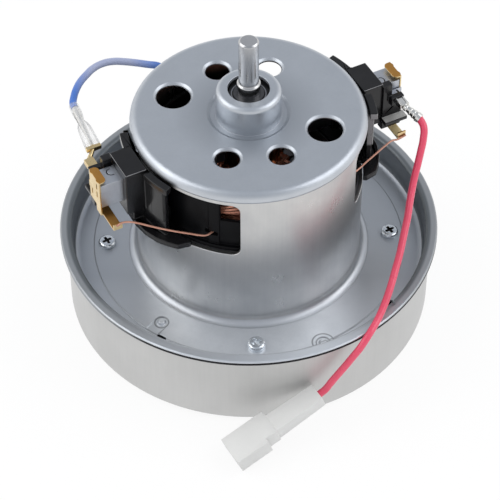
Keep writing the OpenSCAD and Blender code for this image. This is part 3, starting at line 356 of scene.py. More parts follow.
def metal(name, light, dark, rough, wander=55.0, grain=(1, 1, 1), grain_scale=900.0, bump=0.08,
          pits=0.0, painted_rings=(), metallic=1.0, dull=None, fade=None):
    """A metal with cloudy colour and gloss, fine streaks and, if asked, small pits and ring lines.

    Wander and grain_scale are the scales of clouds and streaks, and grain stretches the streaks. A mark is a
    ring line of painted shade or highlight: a centre, a radius, a half width and how much of its colour the line
    keeps; dull is painted shade, a colour that the metal takes towards the motor's axis, and the radii between
    which it does so; fade is painted light or shade, a colour that it takes along a direction, and the distances
    between which it does so.
    """
    material, tree, shader, place = new_material(name)
    cloud = place_group(tree, WANDER, place, Scale=wander)
    streak = place_group(tree, GRAIN, stretched(tree, place, grain), Scale=grain_scale)
    blend = worked_out(tree, "MULTIPLY_ADD", cloud, CLOUD_SHARE, worked_out(tree, "MULTIPLY", streak, STREAK_SHARE))
    colour = mixed(tree, blend, light, dark)
    if pits:
        spots = place_group(tree, SPECKS, place, Scale=PIT_SCALE, Size=pits)
        colour = mixed(tree, spots, colour, tuple(c * PIT_KEEPS for c in dark))
    if fade:
        colour = faded(tree, place, colour, *fade)
    for centre, radius, half_width, keeps in painted_rings:
        colour = mixed(tree, ring_mark(tree, place, centre, radius, half_width), colour,
                       tuple(min(c * keeps, 1) for c in dark))
    if dull:
        colour = inwards(tree, place, colour, *dull)
    tree.links.new(colour, shader.inputs["Base Color"])
    roughened(tree, shader, blend, *rough)
    shader.inputs["Metallic"].default_value = metallic
    bumped(tree, shader, streak, bump, 0.00004)
    return material


def plastic(name, colour, shade, rough, wander=90.0, grain_scale=1600.0, bump=0.06, dust=None, coat=0.0,
            shine=0.5, fade=None):
    """A moulded plastic with cloudy gloss, a fine moulded grain and, if asked, pale dust or a fade of painted light as
    on metal.
    """
    material, tree, shader, place = new_material(name)
    cloud = place_group(tree, WANDER, place, Scale=wander)
    grain = place_group(tree, GRAIN, place, Scale=grain_scale)
    base = mixed(tree, cloud, colour, shade)
    if dust:
        spots = place_group(tree, SPECKS, place, Scale=DUST_SCALE, Size=DUST_SIZE)
        base = mixed(tree, spots, base, dust)
    if fade:
        base = faded(tree, place, base, *fade)
    tree.links.new(base, shader.inputs["Base Color"])
    roughened(tree, shader, cloud, *rough)
    shader.inputs["Specular IOR Level"].default_value = shine
    shader.inputs["Coat Weight"].default_value = coat
    shader.inputs["Coat Roughness"].default_value = 0.12
    bumped(tree, shader, grain, bump, 0.00005)
    return material


# Finishes

AWAY, ACROSS, UP = (0.462, 0.887, 0), (0.886, -0.464, 0), (0, 0, 1)
STEP_R = 55.4
INNER_DIMPLE, FRONT_DIMPLE = (-45.13, -21.53), (0, -STEP_R)
# Dark ring lines along the flange's pressed step and round its dimples: painted shade in these creases.
STEP_SHADE_LINES = (((0, 0), STEP_R, 0.4, 0.6), (INNER_DIMPLE, 2.4, 0.4, 0.4), (FRONT_DIMPLE, 3.8, 0.4, 0.45),
              (FRONT_DIMPLE, 2.4, 0.35, 0.5))
CAN = metal("drawn_can_steel", (0.67, 0.665, 0.65), (0.50, 0.505, 0.515), (0.24, 0.38), 70, (1, 1, 0.03), 620, 0.12)
FOOT = metal("foot_bend_steel", (0.60, 0.62, 0.65), (0.53, 0.55, 0.58), (0.36, 0.46), 60)
# The flange's colour goes darker towards the sides and back, away from the front: painted shade.
FLANGE = metal("pressed_flange_steel", (0.79, 0.82, 0.86), (0.65, 0.68, 0.72), (0.33, 0.45), 130, (1, 1, 1), 1100,
               0.06, pits=0.05, painted_rings=STEP_SHADE_LINES, metallic=0.77, fade=((0.44, 0.465, 0.50), AWAY, -50, -18))
# The trough wall's colour goes far darker towards the sides and back: painted shade.
WALL = metal("trough_wall_steel", (0.74, 0.76, 0.80), (0.66, 0.68, 0.72), (0.45, 0.55), 60, metallic=0.85,
             fade=((0.17, 0.185, 0.20), AWAY, -54, -24))
# The lip's colour goes darker towards the sides and back, and darker still at its inner edge there: painted shade.
LIP = metal("rim_lip_steel", (0.69, 0.72, 0.76), (0.61, 0.64, 0.68), (0.38, 0.48), 60, metallic=0.85,
            fade=((0.38, 0.395, 0.41), AWAY, -60, -34, (0.17, 0.185, 0.195), 64.2, 65.0))
# The lip's outer edge is painted near black, dark grey only at the far left: painted shade of the gap under the lip.
LIP_EDGE = metal("rim_edge_painted_shade_steel", (0.42, 0.44, 0.46), (0.36, 0.38, 0.40), (0.4, 0.55), 60,
                 fade=((0.025, 0.025, 0.028), ACROSS, -56, -34))
BOSS = metal("pressed_boss_steel", (0.58, 0.61, 0.65), (0.51, 0.54, 0.58), (0.36, 0.46), 45, (1, 1, 1), 1100, 0.06)
# The cap's colour goes darker towards the boss: painted shade.
CAP = metal("pressed_cap_steel", (0.58, 0.61, 0.65), (0.50, 0.53, 0.57), (0.36, 0.46), 110, (1, 1, 1), 1100, 0.06,
            pits=0.05, dull=((0.43, 0.455, 0.49), 14, 26))
DRUM = metal("rolled_drum_steel", (0.64, 0.64, 0.635), (0.57, 0.57, 0.565), (0.52, 0.62), 35, (1, 1, 0.06), 800, 0.06,
             pits=0.04)
ZINC = metal("zinc_plated_screw", (0.74, 0.77, 0.80), (0.62, 0.66, 0.70), (0.18, 0.30), 300, bump=0.05)
# Near black for the crosses of three screws and the floor of the flange's slit: painted shade in these recesses.
RECESS = metal("painted_shade_recess", (0.05, 0.05, 0.055), (0.03, 0.03, 0.03), (0.5, 0.6), 300)
# Near white for the front screw's cross: a painted highlight in its recess.
PAINTED_HIGHLIGHT_RECESS = metal("painted_highlight_recess", (0.84, 0.87, 0.90), (0.68, 0.71, 0.74), (0.3, 0.4), 300)
GROUND = metal("ground_shaft_steel", (0.62, 0.62, 0.62), (0.48, 0.48, 0.49), (0.18, 0.28), 200, (1, 1, 14), 500, 0.06)
BEARING = metal("bearing_race_steel", (0.12, 0.12, 0.125), (0.07, 0.07, 0.075), (0.3, 0.4), 250)
# The two pale rings on the black shield are painted highlights on its ridges.
SHIELD = metal("bearing_shield", (0.05, 0.05, 0.052), (0.03, 0.03, 0.032), (0.35, 0.5), 250,
               painted_rings=(((0, 0), 5.1, 0.25, 14), ((0, 0), 5.8, 0.25, 10)))
CAGE = metal("cage_brass", (0.62, 0.48, 0.22), (0.48, 0.36, 0.15), (0.25, 0.4), 250)
LAMINATION = metal("lamination_steel", (0.30, 0.30, 0.31), (0.20, 0.20, 0.21), (0.38, 0.55), 90, (0.02, 0.02, 1), 1500,
                   0.4)
BOX = metal("brush_guide_steel", (0.56, 0.58, 0.62), (0.42, 0.44, 0.48), (0.34, 0.48), 160, (0.05, 1, 1), 1200, 0.1,
            pits=0.10)
BRASS = metal("terminal_brass", (0.84, 0.68, 0.40), (0.66, 0.48, 0.22), (0.22, 0.36), 180, bump=0.06, pits=0.06)
# A darker brown brass for the terminals' up-facing faces: painted shade.
BROWN_BRASS = metal("painted_shade_brass", (0.58, 0.30, 0.08), (0.44, 0.21, 0.05), (0.30, 0.45), 240, bump=0.1, pits=0.10)
# A paler, less metallic brass for the up-facing faces low on the right hook: painted light in their shade.
PALE_BRASS = metal("painted_light_brass", (0.82, 0.68, 0.38), (0.68, 0.53, 0.26), (0.3, 0.45), 180, bump=0.06, pits=0.06,
                   metallic=0.35)
TIN = metal("tinned_crimp", (0.86, 0.85, 0.82), (0.68, 0.67, 0.64), (0.14, 0.26), 260, bump=0.08)
COPPER = metal("enamelled_copper", (0.86, 0.42, 0.30), (0.66, 0.26, 0.16), (0.26, 0.40), 260, bump=0.04, metallic=0.5)
JUMPER = metal("jumper_copper", (0.66, 0.36, 0.27), (0.48, 0.22, 0.15), (0.26, 0.40), 260, bump=0.04, metallic=0.5)
SEGMENT = metal("commutator_copper", (0.62, 0.33, 0.20), (0.42, 0.20, 0.11), (0.24, 0.4), 200, (1, 1, 12), 500, 0.1)
ALUMINIUM = metal("fan_aluminium", (0.72, 0.72, 0.73), (0.60, 0.60, 0.61), (0.28, 0.4), 60)
SPRING = metal("spring_wire", (0.58, 0.58, 0.59), (0.46, 0.46, 0.47), (0.2, 0.3), 260)
BLACK = plastic("black_moulding", (0.006, 0.006, 0.007), (0.011, 0.011, 0.012), (0.15, 0.28), bump=0.04, shine=0.34)
# Grey for the right holder's up-facing ledge: pale dust specks, and a base colour lightened as painted light in the
# shade there.
DUST_AND_LIGHT = plastic("dust_and_painted_light_moulding", (0.46, 0.46, 0.45), (0.32, 0.32, 0.31), (0.5, 0.7), 260, bump=0.1,
                dust=(0.56, 0.56, 0.55))
# Grey for the holders' upper bevelled edges: a painted highlight.
EDGE_HIGHLIGHT = plastic("painted_highlight_moulding_edge", (0.30, 0.30, 0.31), (0.16, 0.16, 0.17), (0.35, 0.5), 400, bump=0.05)
# Black below a height and grey above it on the right wing's end faces: a painted sheen.
WING_END = plastic("painted_sheen_wing_end", (0.008, 0.008, 0.009), (0.012, 0.012, 0.013), (0.2, 0.35), 200, bump=0.04,
                   fade=((0.22, 0.215, 0.22), UP, 65.5, 66.5))
INNER_BLACK = plastic("inner_black_moulding", (0.002, 0.002, 0.0025), (0.004, 0.004, 0.005), (0.3, 0.5), shine=0.1)
CARBON = plastic("brush_carbon", (0.045, 0.045, 0.048), (0.03, 0.03, 0.032), (0.5, 0.7), bump=0.2)
RESIN = plastic("commutator_resin", (0.10, 0.045, 0.025), (0.06, 0.03, 0.02), (0.4, 0.6))
FIBRE = plastic("slot_fibre", (0.18, 0.19, 0.11), (0.12, 0.13, 0.08), (0.6, 0.8), bump=0.2)
VARNISH = plastic("varnished_wire", (0.07, 0.022, 0.012), (0.035, 0.012, 0.007), (0.25, 0.4), shine=0.3)
RED = plastic("red_insulation", (0.76, 0.07, 0.14), (0.68, 0.05, 0.11), (0.24, 0.36), 120, bump=0.04, coat=0.4)


def fading_blue():
    """Blue insulation that turns greyer where it arches over behind the cap."""
    material, tree, shader, place = new_material("blue_insulation")
    split = tree.nodes.new("ShaderNodeSeparateXYZ")
    tree.links.new(place, split.inputs[0])
    begins = ranged(tree, split.outputs["X"], -44.5 * MM, -34 * MM)
    ends = ranged(tree, split.outputs["X"], -20 * MM, -10 * MM, 1, 0)
    greyer_share = worked_out(tree, "MULTIPLY", begins, ends)
    cloud = place_group(tree, WANDER, place, Scale=120.0)
    fresh = mixed(tree, cloud, (0.055, 0.17, 0.55), (0.04, 0.13, 0.46))
    tree.links.new(mixed(tree, greyer_share, fresh, (0.32, 0.36, 0.52)), shader.inputs["Base Color"])
    roughened(tree, shader, cloud, 0.34, 0.46)
    return material


BLUE = fading_blue()


def milky(name, colour, rough, transmission, wander=80.0):
    """A clear or milky plastic: light passes through, with cloudy gloss."""
    material, tree, shader, place = new_material(name)
    cloud = place_group(tree, WANDER, place, Scale=wander)
    tree.links.new(mixed(tree, cloud, colour, tuple(c * 0.95 for c in colour)), shader.inputs["Base Color"])
    roughened(tree, shader, cloud, *rough)
    shader.inputs["Transmission Weight"].default_value = transmission
    shader.inputs["IOR"].default_value = 1.45
    return material


def clear_film(name):
    """Thin clear sleeve: nearly unseen face on, with dark lines painted where it turns away, a painted reflection, and
    a wavy gloss.
    """
    material, tree, shader, place = new_material(name)
    turned = tree.nodes.new("ShaderNodeLayerWeight")
    turned.inputs["Blend"].default_value = 0.5
    wave = place_group(tree, WANDER, place, Scale=180.0)
    line = ranged(tree, turned.outputs["Facing"], 0.55, 0.9)
    tree.links.new(mixed(tree, line, (0.95, 0.95, 0.95), (0.16, 0.16, 0.17)), shader.inputs["Base Color"])
    tree.links.new(ranged(tree, line, 0.0, 1.0, 0.12, 0.8), shader.inputs["Alpha"])
    roughened(tree, shader, wave, 0.04, 0.12)
    shader.inputs["Coat Weight"].default_value = 1.0
    bumped(tree, shader, wave, 0.5, 0.0006)
    return material


SLEEVE = clear_film("clear_sleeve")
NYLON = milky("milky_nylon", (0.775, 0.775, 0.76), (0.30, 0.42), 0.15)

FINISH = {
    "can_steel": CAN, "cap_steel": CAP, "drum_steel": DRUM, "black_plastic": BLACK, "zinc_plate": ZINC,
    "bearing_steel": BEARING, "shield_steel": SHIELD, "cage_brass": CAGE, "lamination_steel": LAMINATION,
    "copper_wire": COPPER, "varnished_coil": VARNISH, "box_steel": BOX, "terminal_brass": BRASS, "carbon": CARBON,
    "spring_steel": SPRING, "tinned_metal": TIN, "clear_sleeve": SLEEVE, "red_insulation": RED,
    "blue_insulation": BLUE, "connector_white": NYLON, "shaft_steel": GROUND, "fibre": FIBRE,
    "commutator_resin": RESIN, "commutator_copper": SEGMENT, "fan_aluminium": ALUMINIUM,
}
for node, piece in nodes.items():
    paint(piece, FINISH[slot_of_node[node]])
    for polygon in piece.data.polygons:
        polygon.material_index = 0


# Leads, from the terminal to the connector, in millimetres

RED_ROUTE = [
    (56.7, -18.5, 73.2), (56.8, -21.4, 71.6), (55.2, -24.2, 68.6), (53.1, -26.4, 65.6), (50.8, -28.6, 62.4),
    (48.3, -31, 59.4), (45.9, -33.6, 56.6), (43.4, -36.6, 54), (40.9, -39.8, 51.4), (38.1, -42.9, 49),
    (35.2, -46.2, 46.8), (32.2, -49.5, 44.8), (28.9, -52.8, 42.8), (25.7, -56, 40.8), (22.4, -59, 38.8),
    (19, -61.8, 36.9), (15.7, -64.2, 35.5), (12.4, -66.5, 34.9), (9.2, -68.2, 33.4), (6.4, -69, 30.8),
    (3.7, -69.1, 27.9), (1, -69.2, 25), (-1.7, -69.2, 22.1), (-4.3, -69.2, 19.3), (-6.9, -69.3, 16.5),
    (-9.3, -69.4, 15.5)]
BLUE_ROUTE = [
    (-47.4, 38.8, 75.2), (-47, 41.2, 75.1), (-45.2, 44.6, 75), (-42.8, 47.8, 75), (-40, 50.6, 75),
    (-36.7, 52.9, 75), (-33.1, 54.9, 75), (-29.1, 55.7, 75), (-25.1, 55.4, 74.6), (-21.1, 54.4, 73.6),
    (-17.3, 53, 72.6), (-13.6, 51.4, 71.6), (-10, 50.4, 70.2), (-7.2, 50.3, 66.8), (-5.6, 50.8, 62.4),
    (-4.8, 52, 57.8), (-4.2, 53.6, 53.2), (-3.8, 55.6, 48.8), (-3.6, 58, 44.6), (-3.4, 60.8, 40.8),
    (-3.2, 63.6, 37.4), (-2.8, 66.6, 35.4), (-2, 69.6, 33.2), (-1, 71.6, 29.4), (0, 72.8, 24.8),
    (1, 73.8, 20), (2, 74.8, 15.2), (3.2, 75.8, 10.8), (4.8, 76.8, 7), (7, 77.6, 4.4), (9.8, 77.1, 3.3),
    (12.4, 75.6, 3.3)]
LEAD_D = 2.6


def round_curve(name, diameter, sides):
    curve = bpy.data.curves.new(name, "CURVE")
    curve.dimensions = "3D"
    curve.bevel_depth = diameter / 2 * MM
    curve.bevel_resolution = sides
    curve.use_fill_caps = True
    return curve


def wire(name, route, diameter, material, sides=4, fine=6):
    """A round wire through the points of a route, in millimetres."""
    curve = round_curve(name, diameter, sides)
    curve.resolution_u = fine
    spline = curve.splines.new("BEZIER")
    spline.bezier_points.add(len(route) - 1)
    for point, at in zip(spline.bezier_points, route):
        point.co = Vector(at) * MM
        point.handle_left_type = point.handle_right_type = "AUTO"
    curve.materials.append(material)
    return linked(name, curve)


def solid_wire(name, points, diameter, material, sides=2, closed=False):
    """A wire as a mesh: straight steps between many points, in millimetres."""
    curve = round_curve(name, diameter, sides)
    curve.use_fill_caps = not closed
    spline = curve.splines.new("POLY")
    spline.points.add(len(points) - 1)
    for point, at in zip(spline.points, points):
        point.co = (*(Vector(at) * MM), 1)
    spline.use_cyclic_u = closed
    activate(linked(name, curve))
    bpy.ops.object.convert(target="MESH")
    piece = bpy.context.object
    piece.name = name
    edit(piece)
    bpy.ops.mesh.remove_doubles(threshold=0.0005 * MM)
    bpy.ops.mesh.normals_make_consistent(inside=False)
    done()
    smooth(piece, 60)
    paint(piece, material)
    return piece


def joined(name, pieces):
    """Joins pieces into one object."""
    deselect()
    for piece in pieces:
        piece.select_set(True)
    bpy.context.view_layer.objects.active = pieces[0]
    bpy.ops.object.join()
    whole = bpy.context.object
    whole.name = name
    return whole


def copy_of(piece, name, turn=0.0):
    """A copy with its own mesh, turned about the motor's axis."""
    twin = piece.copy()
    twin.data = piece.data.copy()
    twin.name = name
    bpy.context.scene.collection.objects.link(twin)
    twin.rotation_euler.z = turn
    settle(twin)
    return twin


red_lead = wire("red_lead_wire", RED_ROUTE, LEAD_D, RED)
stand_for(red_lead, "red_lead")
blue_lead = wire("blue_lead_wire", BLUE_ROUTE, LEAD_D, BLUE)
stand_for(blue_lead, "blue_lead")


# Sheet metal, mouldings and terminals with broken edges

def sort_faces(piece, materials, choose):
    """Gives each face the material that choose names for its middle, its normal and its corners' mean radius."""
    paint(piece, *materials)
    corners = piece.data.vertices
    for face in piece.data.polygons:
        r = sum(corners[v].co.xy.length for v in face.vertices) / len(face.vertices) / MM
        face.material_index = materials.index(choose(face.center / MM, face.normal, r))


def off_point(c, at):
    """Distance in plan of a face's middle from a point."""
    return math.hypot(c.x - at[0], c.y - at[1])


EDGE_R, LIP_R, LIP_LOW = 66.2, 62, 32.6
WALL_R, WALL_LOW = 59, 22
SLIT_AT, SLIT_REACH, SLIT_R, SLIT_TOP = on_ring(STEP_R, -150.2), 1.9, 57, 23.3
FOOT_R, FOOT_TO, FOOT_TOP = 39.9, 42.9, 26.6
FLANGE_R, FLANGE_TOP = 42.6, 24.6
BOSS_LOW = 86.5


def frame_face(c, n, r):
    if r > EDGE_R and n.z < 0.3:
        return LIP_EDGE
    if r > LIP_R and c.z > LIP_LOW:
        return LIP
    if r > WALL_R and c.z > WALL_LOW and n.z < 0.75:
        return WALL
    # The slit's floor gets the near-black finish: painted shade.
    if off_point(c, SLIT_AT) < SLIT_REACH and c.z < SLIT_TOP and r < SLIT_R:
        return RECESS
    if FOOT_R < r < FOOT_TO and c.z < FOOT_TOP:
        return FOOT
    return FLANGE if r > FLANGE_R and c.z < FLANGE_TOP else CAN


frame_piece = softened("motor_frame", "drawn_can_and_flange", 0.22)
sort_faces(frame_piece, [CAN, FLANGE, FOOT, WALL, LIP, LIP_EDGE, RECESS], frame_face)
cap_piece = softened("end_bracket", "pressed_end_cap", 0.2)
sort_faces(cap_piece, [CAP, BOSS], lambda c, n, r: BOSS if c.z > BOSS_LOW else CAP)
softened("fan_cover", "fan_drum", 0.15)

SCREW_RING = 50.7
SHADED_CROSS_SCREWS = [on_ring(SCREW_RING, angle) for angle in (-24.5, 65.5, 155.5)]
FRONT_SCREW = on_ring(SCREW_RING, 245.5)
CROSS_REACH, CROSS_LOW, CROSS_TOP = 1.85, 24, 25.12


# Three screws' crosses get painted shade and the front screw's cross a painted highlight.
def screw_face(c, n, r):
    if not CROSS_LOW < c.z < CROSS_TOP:
        return ZINC
    if off_point(c, FRONT_SCREW) < CROSS_REACH:
        return PAINTED_HIGHLIGHT_RECESS
    return RECESS if min(off_point(c, at) for at in SHADED_CROSS_SCREWS) < CROSS_REACH else ZINC


screw_piece = softened("flange_screws", "cross_head_screws", 0.12)
sort_faces(screw_piece, [ZINC, RECESS, PAINTED_HIGHLIGHT_RECESS], screw_face)


def holder_face(c, n, r):
    """Dust and painted light on the right holder's ledge, a painted highlight on the upper edges, and a painted sheen
    on the right wing's end.
    """
    if n.z > 0.9 and 48.5 < c.x < 57.5 and 65 < c.z < 69:
        return DUST_AND_LIGHT
    if c.z > 82 and 0.5 < n.z < 0.85 and abs(c.x) > 41.5:
        return EDGE_HIGHLIGHT
    if n.y < -0.7 and 36 < c.x < 42 and -19.5 < c.y < -14 and c.z > 60:
        return WING_END
    return BLACK


def plate_face(c, n, r):
    """The right plate's lead tab is grey; the up-facing faces low on its hook are paler, painted light; what else
    looks up is darker brown, painted shade.
    """
    if c.x > 0 and c.y < -4 and 73 < c.z < 76.5:
        return BOX
    if c.x > 0 and c.z < 62.5 and n.z > 0.8:
        return PALE_BRASS
    return BROWN_BRASS if n.z > 0.8 else BRASS


for side in ("left", "right"):
    holder = softened("brush_holder_" + side, "brush_holder_moulding_" + side, 0.35, 3)
    sort_faces(holder, [BLACK, DUST_AND_LIGHT, EDGE_HIGHLIGHT, WING_END], holder_face)
    softened("brush_box_" + side, "brush_guide_" + side, 0.14)
    plate = softened("brush_terminal_" + side, "brass_end_plate_" + side, 0.1)
    sort_faces(plate, [BRASS, BROWN_BRASS, PALE_BRASS, BOX], plate_face)
softened("shaft", "turned_shaft", 0.12)
softened("top_insulator", "top_end_insulator", 0.25, material=INNER_BLACK)


# Connectors: a housing that widens in a step on either side, one later than the other, with an open mouth;
# sizes in millimetres, width then height, and lengths along the housing

PLUG_END, PLUG_END_L = (7.0, 4.8), 1.6
PLUG_TAIL, PLUG_TAIL_L = (7.6, 5.6), 17.4
PLUG_HEAD, PLUG_FLARE_L, PLUG_HEAD_L = (11.6, 6.2), 0.4, 16.6
PLUG_WALL, PLUG_MOUTH_L, PLUG_EDGE = 1.2, 11.5, 0.4
SHOULDER_AT, SHOULDER_SIZE = (21, 9.2, 0), (5, 10, 12)
PLUG_AT = {"red": ((-9.3, -69.4, 15.5), (0, 18.9, 182.5)), "blue": ((12.4, 75.6, 3.3), (0, 0, -30))}


def plug_housing(name):
    """Runs along +X from its tail's end: tail, then head with a hollow mouth and one shoulder cut back."""
    bpy.ops.mesh.primitive_cube_add(size=1)
    piece = bpy.context.object
    piece.name = name
    piece.scale = Vector((PLUG_END_L, *PLUG_END)) * MM
    piece.location.x = PLUG_END_L / 2 * MM
    settle(piece)
    edit(piece)
    reach, last = PLUG_END_L, PLUG_END
    for step, size in ((PLUG_TAIL_L, PLUG_TAIL), (PLUG_FLARE_L, PLUG_HEAD), (PLUG_HEAD_L, PLUG_HEAD)):
        pick_end(piece, reach)
        bpy.ops.mesh.extrude_region_move(TRANSFORM_OT_translate={"value": (step * MM, 0, 0)})
        bpy.ops.transform.resize(value=(1, size[0] / last[0], size[1] / last[1]),
                                 center_override=((reach + step) * MM, 0, 0))
        reach, last = reach + step, size
    pick_end(piece, reach)
    bpy.ops.mesh.inset(thickness=PLUG_WALL * MM)
    bpy.ops.mesh.extrude_region_move(TRANSFORM_OT_translate={"value": (-PLUG_MOUTH_L * MM, 0, 0)})
    bpy.ops.mesh.select_all(action="SELECT")
    bpy.ops.mesh.normals_make_consistent(inside=False)
    done()
    bpy.ops.mesh.primitive_cube_add(size=1, location=Vector(SHOULDER_AT) * MM)
    cutter = bpy.context.object
    cutter.scale = Vector(SHOULDER_SIZE) * MM
    settle(cutter)
    use(piece, "BOOLEAN", object=cutter, operation="DIFFERENCE", solver="EXACT")
    bpy.data.objects.remove(cutter, do_unlink=True)
    use(piece, "BEVEL", width=PLUG_EDGE * MM, segments=3, limit_method="ANGLE", angle_limit=math.radians(40),
        use_clamp_overlap=True, miter_outer="MITER_ARC")
    smooth(piece, 40)
    paint(piece, NYLON)
    return piece


for colour, (at, turn) in PLUG_AT.items():
    housing = plug_housing(colour + "_plug_housing")
    housing.rotation_euler = [math.radians(a) for a in turn]
    housing.location = Vector(at) * MM
    settle(housing)
    stand_for(housing, colour + "_connector")


# Field coils: turns of enamelled wire, wound in two layers over the varnished coil body

COIL_MID, COIL_FIRST_R = 44.5, 22.75
COIL_TURNS, COIL_PITCH, COIL_STEPS = 14, 0.61, 48
CORNER_POWER = 0.4


def racetrack(across, up):
    """Turns of wire round a pole, each on a cylinder about the motor's axis; across and up are half sizes."""
    points = []
    for i in range(COIL_TURNS * COIL_STEPS + 1):
        a = 2 * math.pi * i / COIL_STEPS
        c, z = math.cos(a), math.sin(a)
        x = across * math.copysign(abs(c) ** CORNER_POWER, c)
        r = COIL_FIRST_R + COIL_PITCH * i / COIL_STEPS
        points.append((x, math.sqrt(r * r - x * x), COIL_MID + up * math.copysign(abs(z) ** CORNER_POWER, z)))
    return points


softened("field_coil_rear", "coil_body_rear", 0.6, 3, material=VARNISH)
outer = solid_wire("outer_turns", racetrack(20.0, 21.6), 0.62, COPPER)
inner = solid_wire("inner_turns", racetrack(15.4, 12.5), 0.5, COPPER)
turns_rear = joined("field_turns_rear", [outer, inner])
turns_front = copy_of(turns_rear, "field_turns_front", math.pi)
softened("field_coil_front", "coil_body_front", 0.6, 3, material=VARNISH)
stand_for(turns_rear, "field_winding_rear")
stand_for(turns_front, "field_winding_front")


# Armature winding: bundles that lie in the slots and cross over at both ends

SLOTS, SPAN, STRANDS = 22, 10, 3
SLOT_R, NECK_R, STRAND_STEP = 15.7, 7.4, 0.55
CORE_ENDS = ((56.8, 6.2, 1), (32.2, 3.2, -1))
CROSSING_STEPS = 14


def armature_loop(slot, strand):
    """One turn: up a slot, across the top, down the slot opposite and back below, in millimetres."""
    start = 2 * math.pi * slot / SLOTS
    swing = 2 * math.pi * SPAN / SLOTS
    layer = strand / (STRANDS - 1)
    depth = SLOT_R - STRAND_STEP * strand
    points = []
    for end, rise, way in CORE_ENDS:
        for i in range(CROSSING_STEPS + 1):
            t = i / CROSSING_STEPS if way > 0 else 1 - i / CROSSING_STEPS
            bow = math.sin(math.pi * t)
            r = depth - (depth - NECK_R - 1.2 * layer) * bow ** 0.7
            a = start + swing * t
            lift = 0.5 + (rise - 0.9 * strand) * bow ** 0.6 * (0.55 + 0.45 * t)
            points.append((r * math.cos(a), r * math.sin(a), end + way * lift))
    return points


strands = [solid_wire("armature_strand", armature_loop(i, k), 0.8, COPPER, 1, True)
           for i in range(SLOTS) for k in range(STRANDS)]
armature_turns = joined("armature_turns", strands)
stand_for(armature_turns, "armature_winding")


# Brush springs: closed ends, open turns between, pressed together by the brush

SPRING_FROM, SPRING_TO, SPRING_R = 43.55, 56.7, 2.4
SPRING_D, CLOSED_PITCH = 0.6, 0.62
SPRING_TURNS, TURN_STEPS = 9, 20
BRUSH_Z = 74.2


def spring_points():
    """The right spring, from its brush outwards, with one closed turn at either end."""
    open_run = SPRING_TO - SPRING_FROM - SPRING_D - 2 * CLOSED_PITCH
    points = []
    for i in range(SPRING_TURNS * TURN_STEPS + 1):
        turn = i / TURN_STEPS
        opened = min(max((turn - 1) / (SPRING_TURNS - 2), 0), 1)
        ends = min(turn, 1) + max(turn - SPRING_TURNS + 1, 0)
        x = SPRING_FROM + SPRING_D / 2 + CLOSED_PITCH * ends + open_run * opened
        a = 2 * math.pi * turn
        points.append((x, SPRING_R * math.cos(a), BRUSH_Z + SPRING_R * math.sin(a)))
    return points


spring_right = solid_wire("coiled_spring_right", spring_points(), SPRING_D, SPRING)
spring_left = copy_of(spring_right, "coiled_spring_left", math.pi)
for side, spring, way in (("right", spring_right, 1), ("left", spring_left, -1)):
    stand_for(spring, "brush_spring_" + side)
    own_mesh(spring)


# Bare jumper wires from the brass hooks into the windows

JUMPER_D = 0.7
LEFT_JUMPER = [
    (-56, -12.8, 68.2), (-54, -12.8, 68.9), (-51.6, -13.2, 68.6), (-49.2, -14.3, 68), (-45.6, -16.7, 67),
    (-42, -19, 66), (-38.3, -20.9, 64.8), (-34, -23, 63.6), (-31.3, -24.4, 62.9), (-29, -25.1, 62.4),
    (-26.6, -24.6, 62.3), (-24.2, -24, 62.5), (-21, -25.2, 62.8), (-18.2, -26.9, 63)]
RIGHT_JUMPER = [
    (55.4, -12.8, 61), (53.9, -12.8, 60.6), (52, -13, 60.5), (49.9, -12.9, 60.8), (45.8, -14.8, 61.6),
    (40, -17.9, 62.8), (34.1, -21.1, 64), (30.6, -23.1, 64.7), (28, -24.1, 64.9), (25.6, -24.3, 64.6),
    (22, -25, 64), (18.2, -26.9, 63)]
for side, route in (("left", LEFT_JUMPER), ("right", RIGHT_JUMPER)):
    stand_for(wire("bare_jumper_" + side, route, JUMPER_D, JUMPER, 3), "jumper_wire_" + side)


# Lead terminals and the clear sleeve

def between(a, b, t):
    return Vector(a).lerp(Vector(b), t)


def add_rod(name, a, b, r_a, r_b):
    """A round rod or cone from a to b, in millimetres."""
    run = Vector(b) - Vector(a)
    bpy.ops.mesh.primitive_cone_add(vertices=24, radius1=r_a * MM, radius2=r_b * MM, depth=run.length * MM,
                                    location=between(a, b, 0.5) * MM, rotation=run.to_track_quat("Z", "Y").to_euler())
    piece = bpy.context.object
    piece.name = name
    settle(piece)
    return piece


def add_bead(name, at, size, along):
    """A rounded bulge, in millimetres, with its length along a direction."""
    bpy.ops.mesh.primitive_uv_sphere_add(segments=20, ring_count=12, radius=MM, location=Vector(at) * MM,
                                         rotation=Vector(along).to_track_quat("Z", "Y").to_euler(), scale=size)
    piece = bpy.context.object
    piece.name = name
    settle(piece)
    return piece


CRIMP_X = 53.9
CRIMP_FROM, CRIMP_TO = (CRIMP_X, -13.0, 75.4), RED_ROUTE[0]
CRIMP_RUN = Vector(CRIMP_TO) - Vector(CRIMP_FROM)
ROLL_FROM, ROLL_TO, ROLL_Z, ROLL_R = -9.5, -13.1, 76.2, 0.5
CRIMP_BEADS = ((0.12, (1.5, 1.2, 0.9)), (0.42, (1.55, 1.45, 0.75)), (0.66, (1.75, 1.6, 0.7)))
crimp = softened("red_terminal", "red_crimp", 0.18)
crimp_bits = [add_rod("rolled_edge", (x, ROLL_FROM, ROLL_Z), (x, ROLL_TO, ROLL_Z), ROLL_R, ROLL_R)
              for x in (CRIMP_X - 1.25, CRIMP_X + 1.25)]
crimp_bits += [add_bead("wire_crimp", between(CRIMP_FROM, CRIMP_TO, t), size, CRIMP_RUN) for t, size in CRIMP_BEADS]
crimp_bits.append(add_rod("insulation_grip", between(CRIMP_FROM, CRIMP_TO, 0.84), between(CRIMP_FROM, CRIMP_TO, 1.06),
                          1.85, 1.75))
for bit in crimp_bits:
    smooth(bit, 50)
    paint(bit, TIN)
red_crimp = joined("red_crimp", [crimp] + crimp_bits)
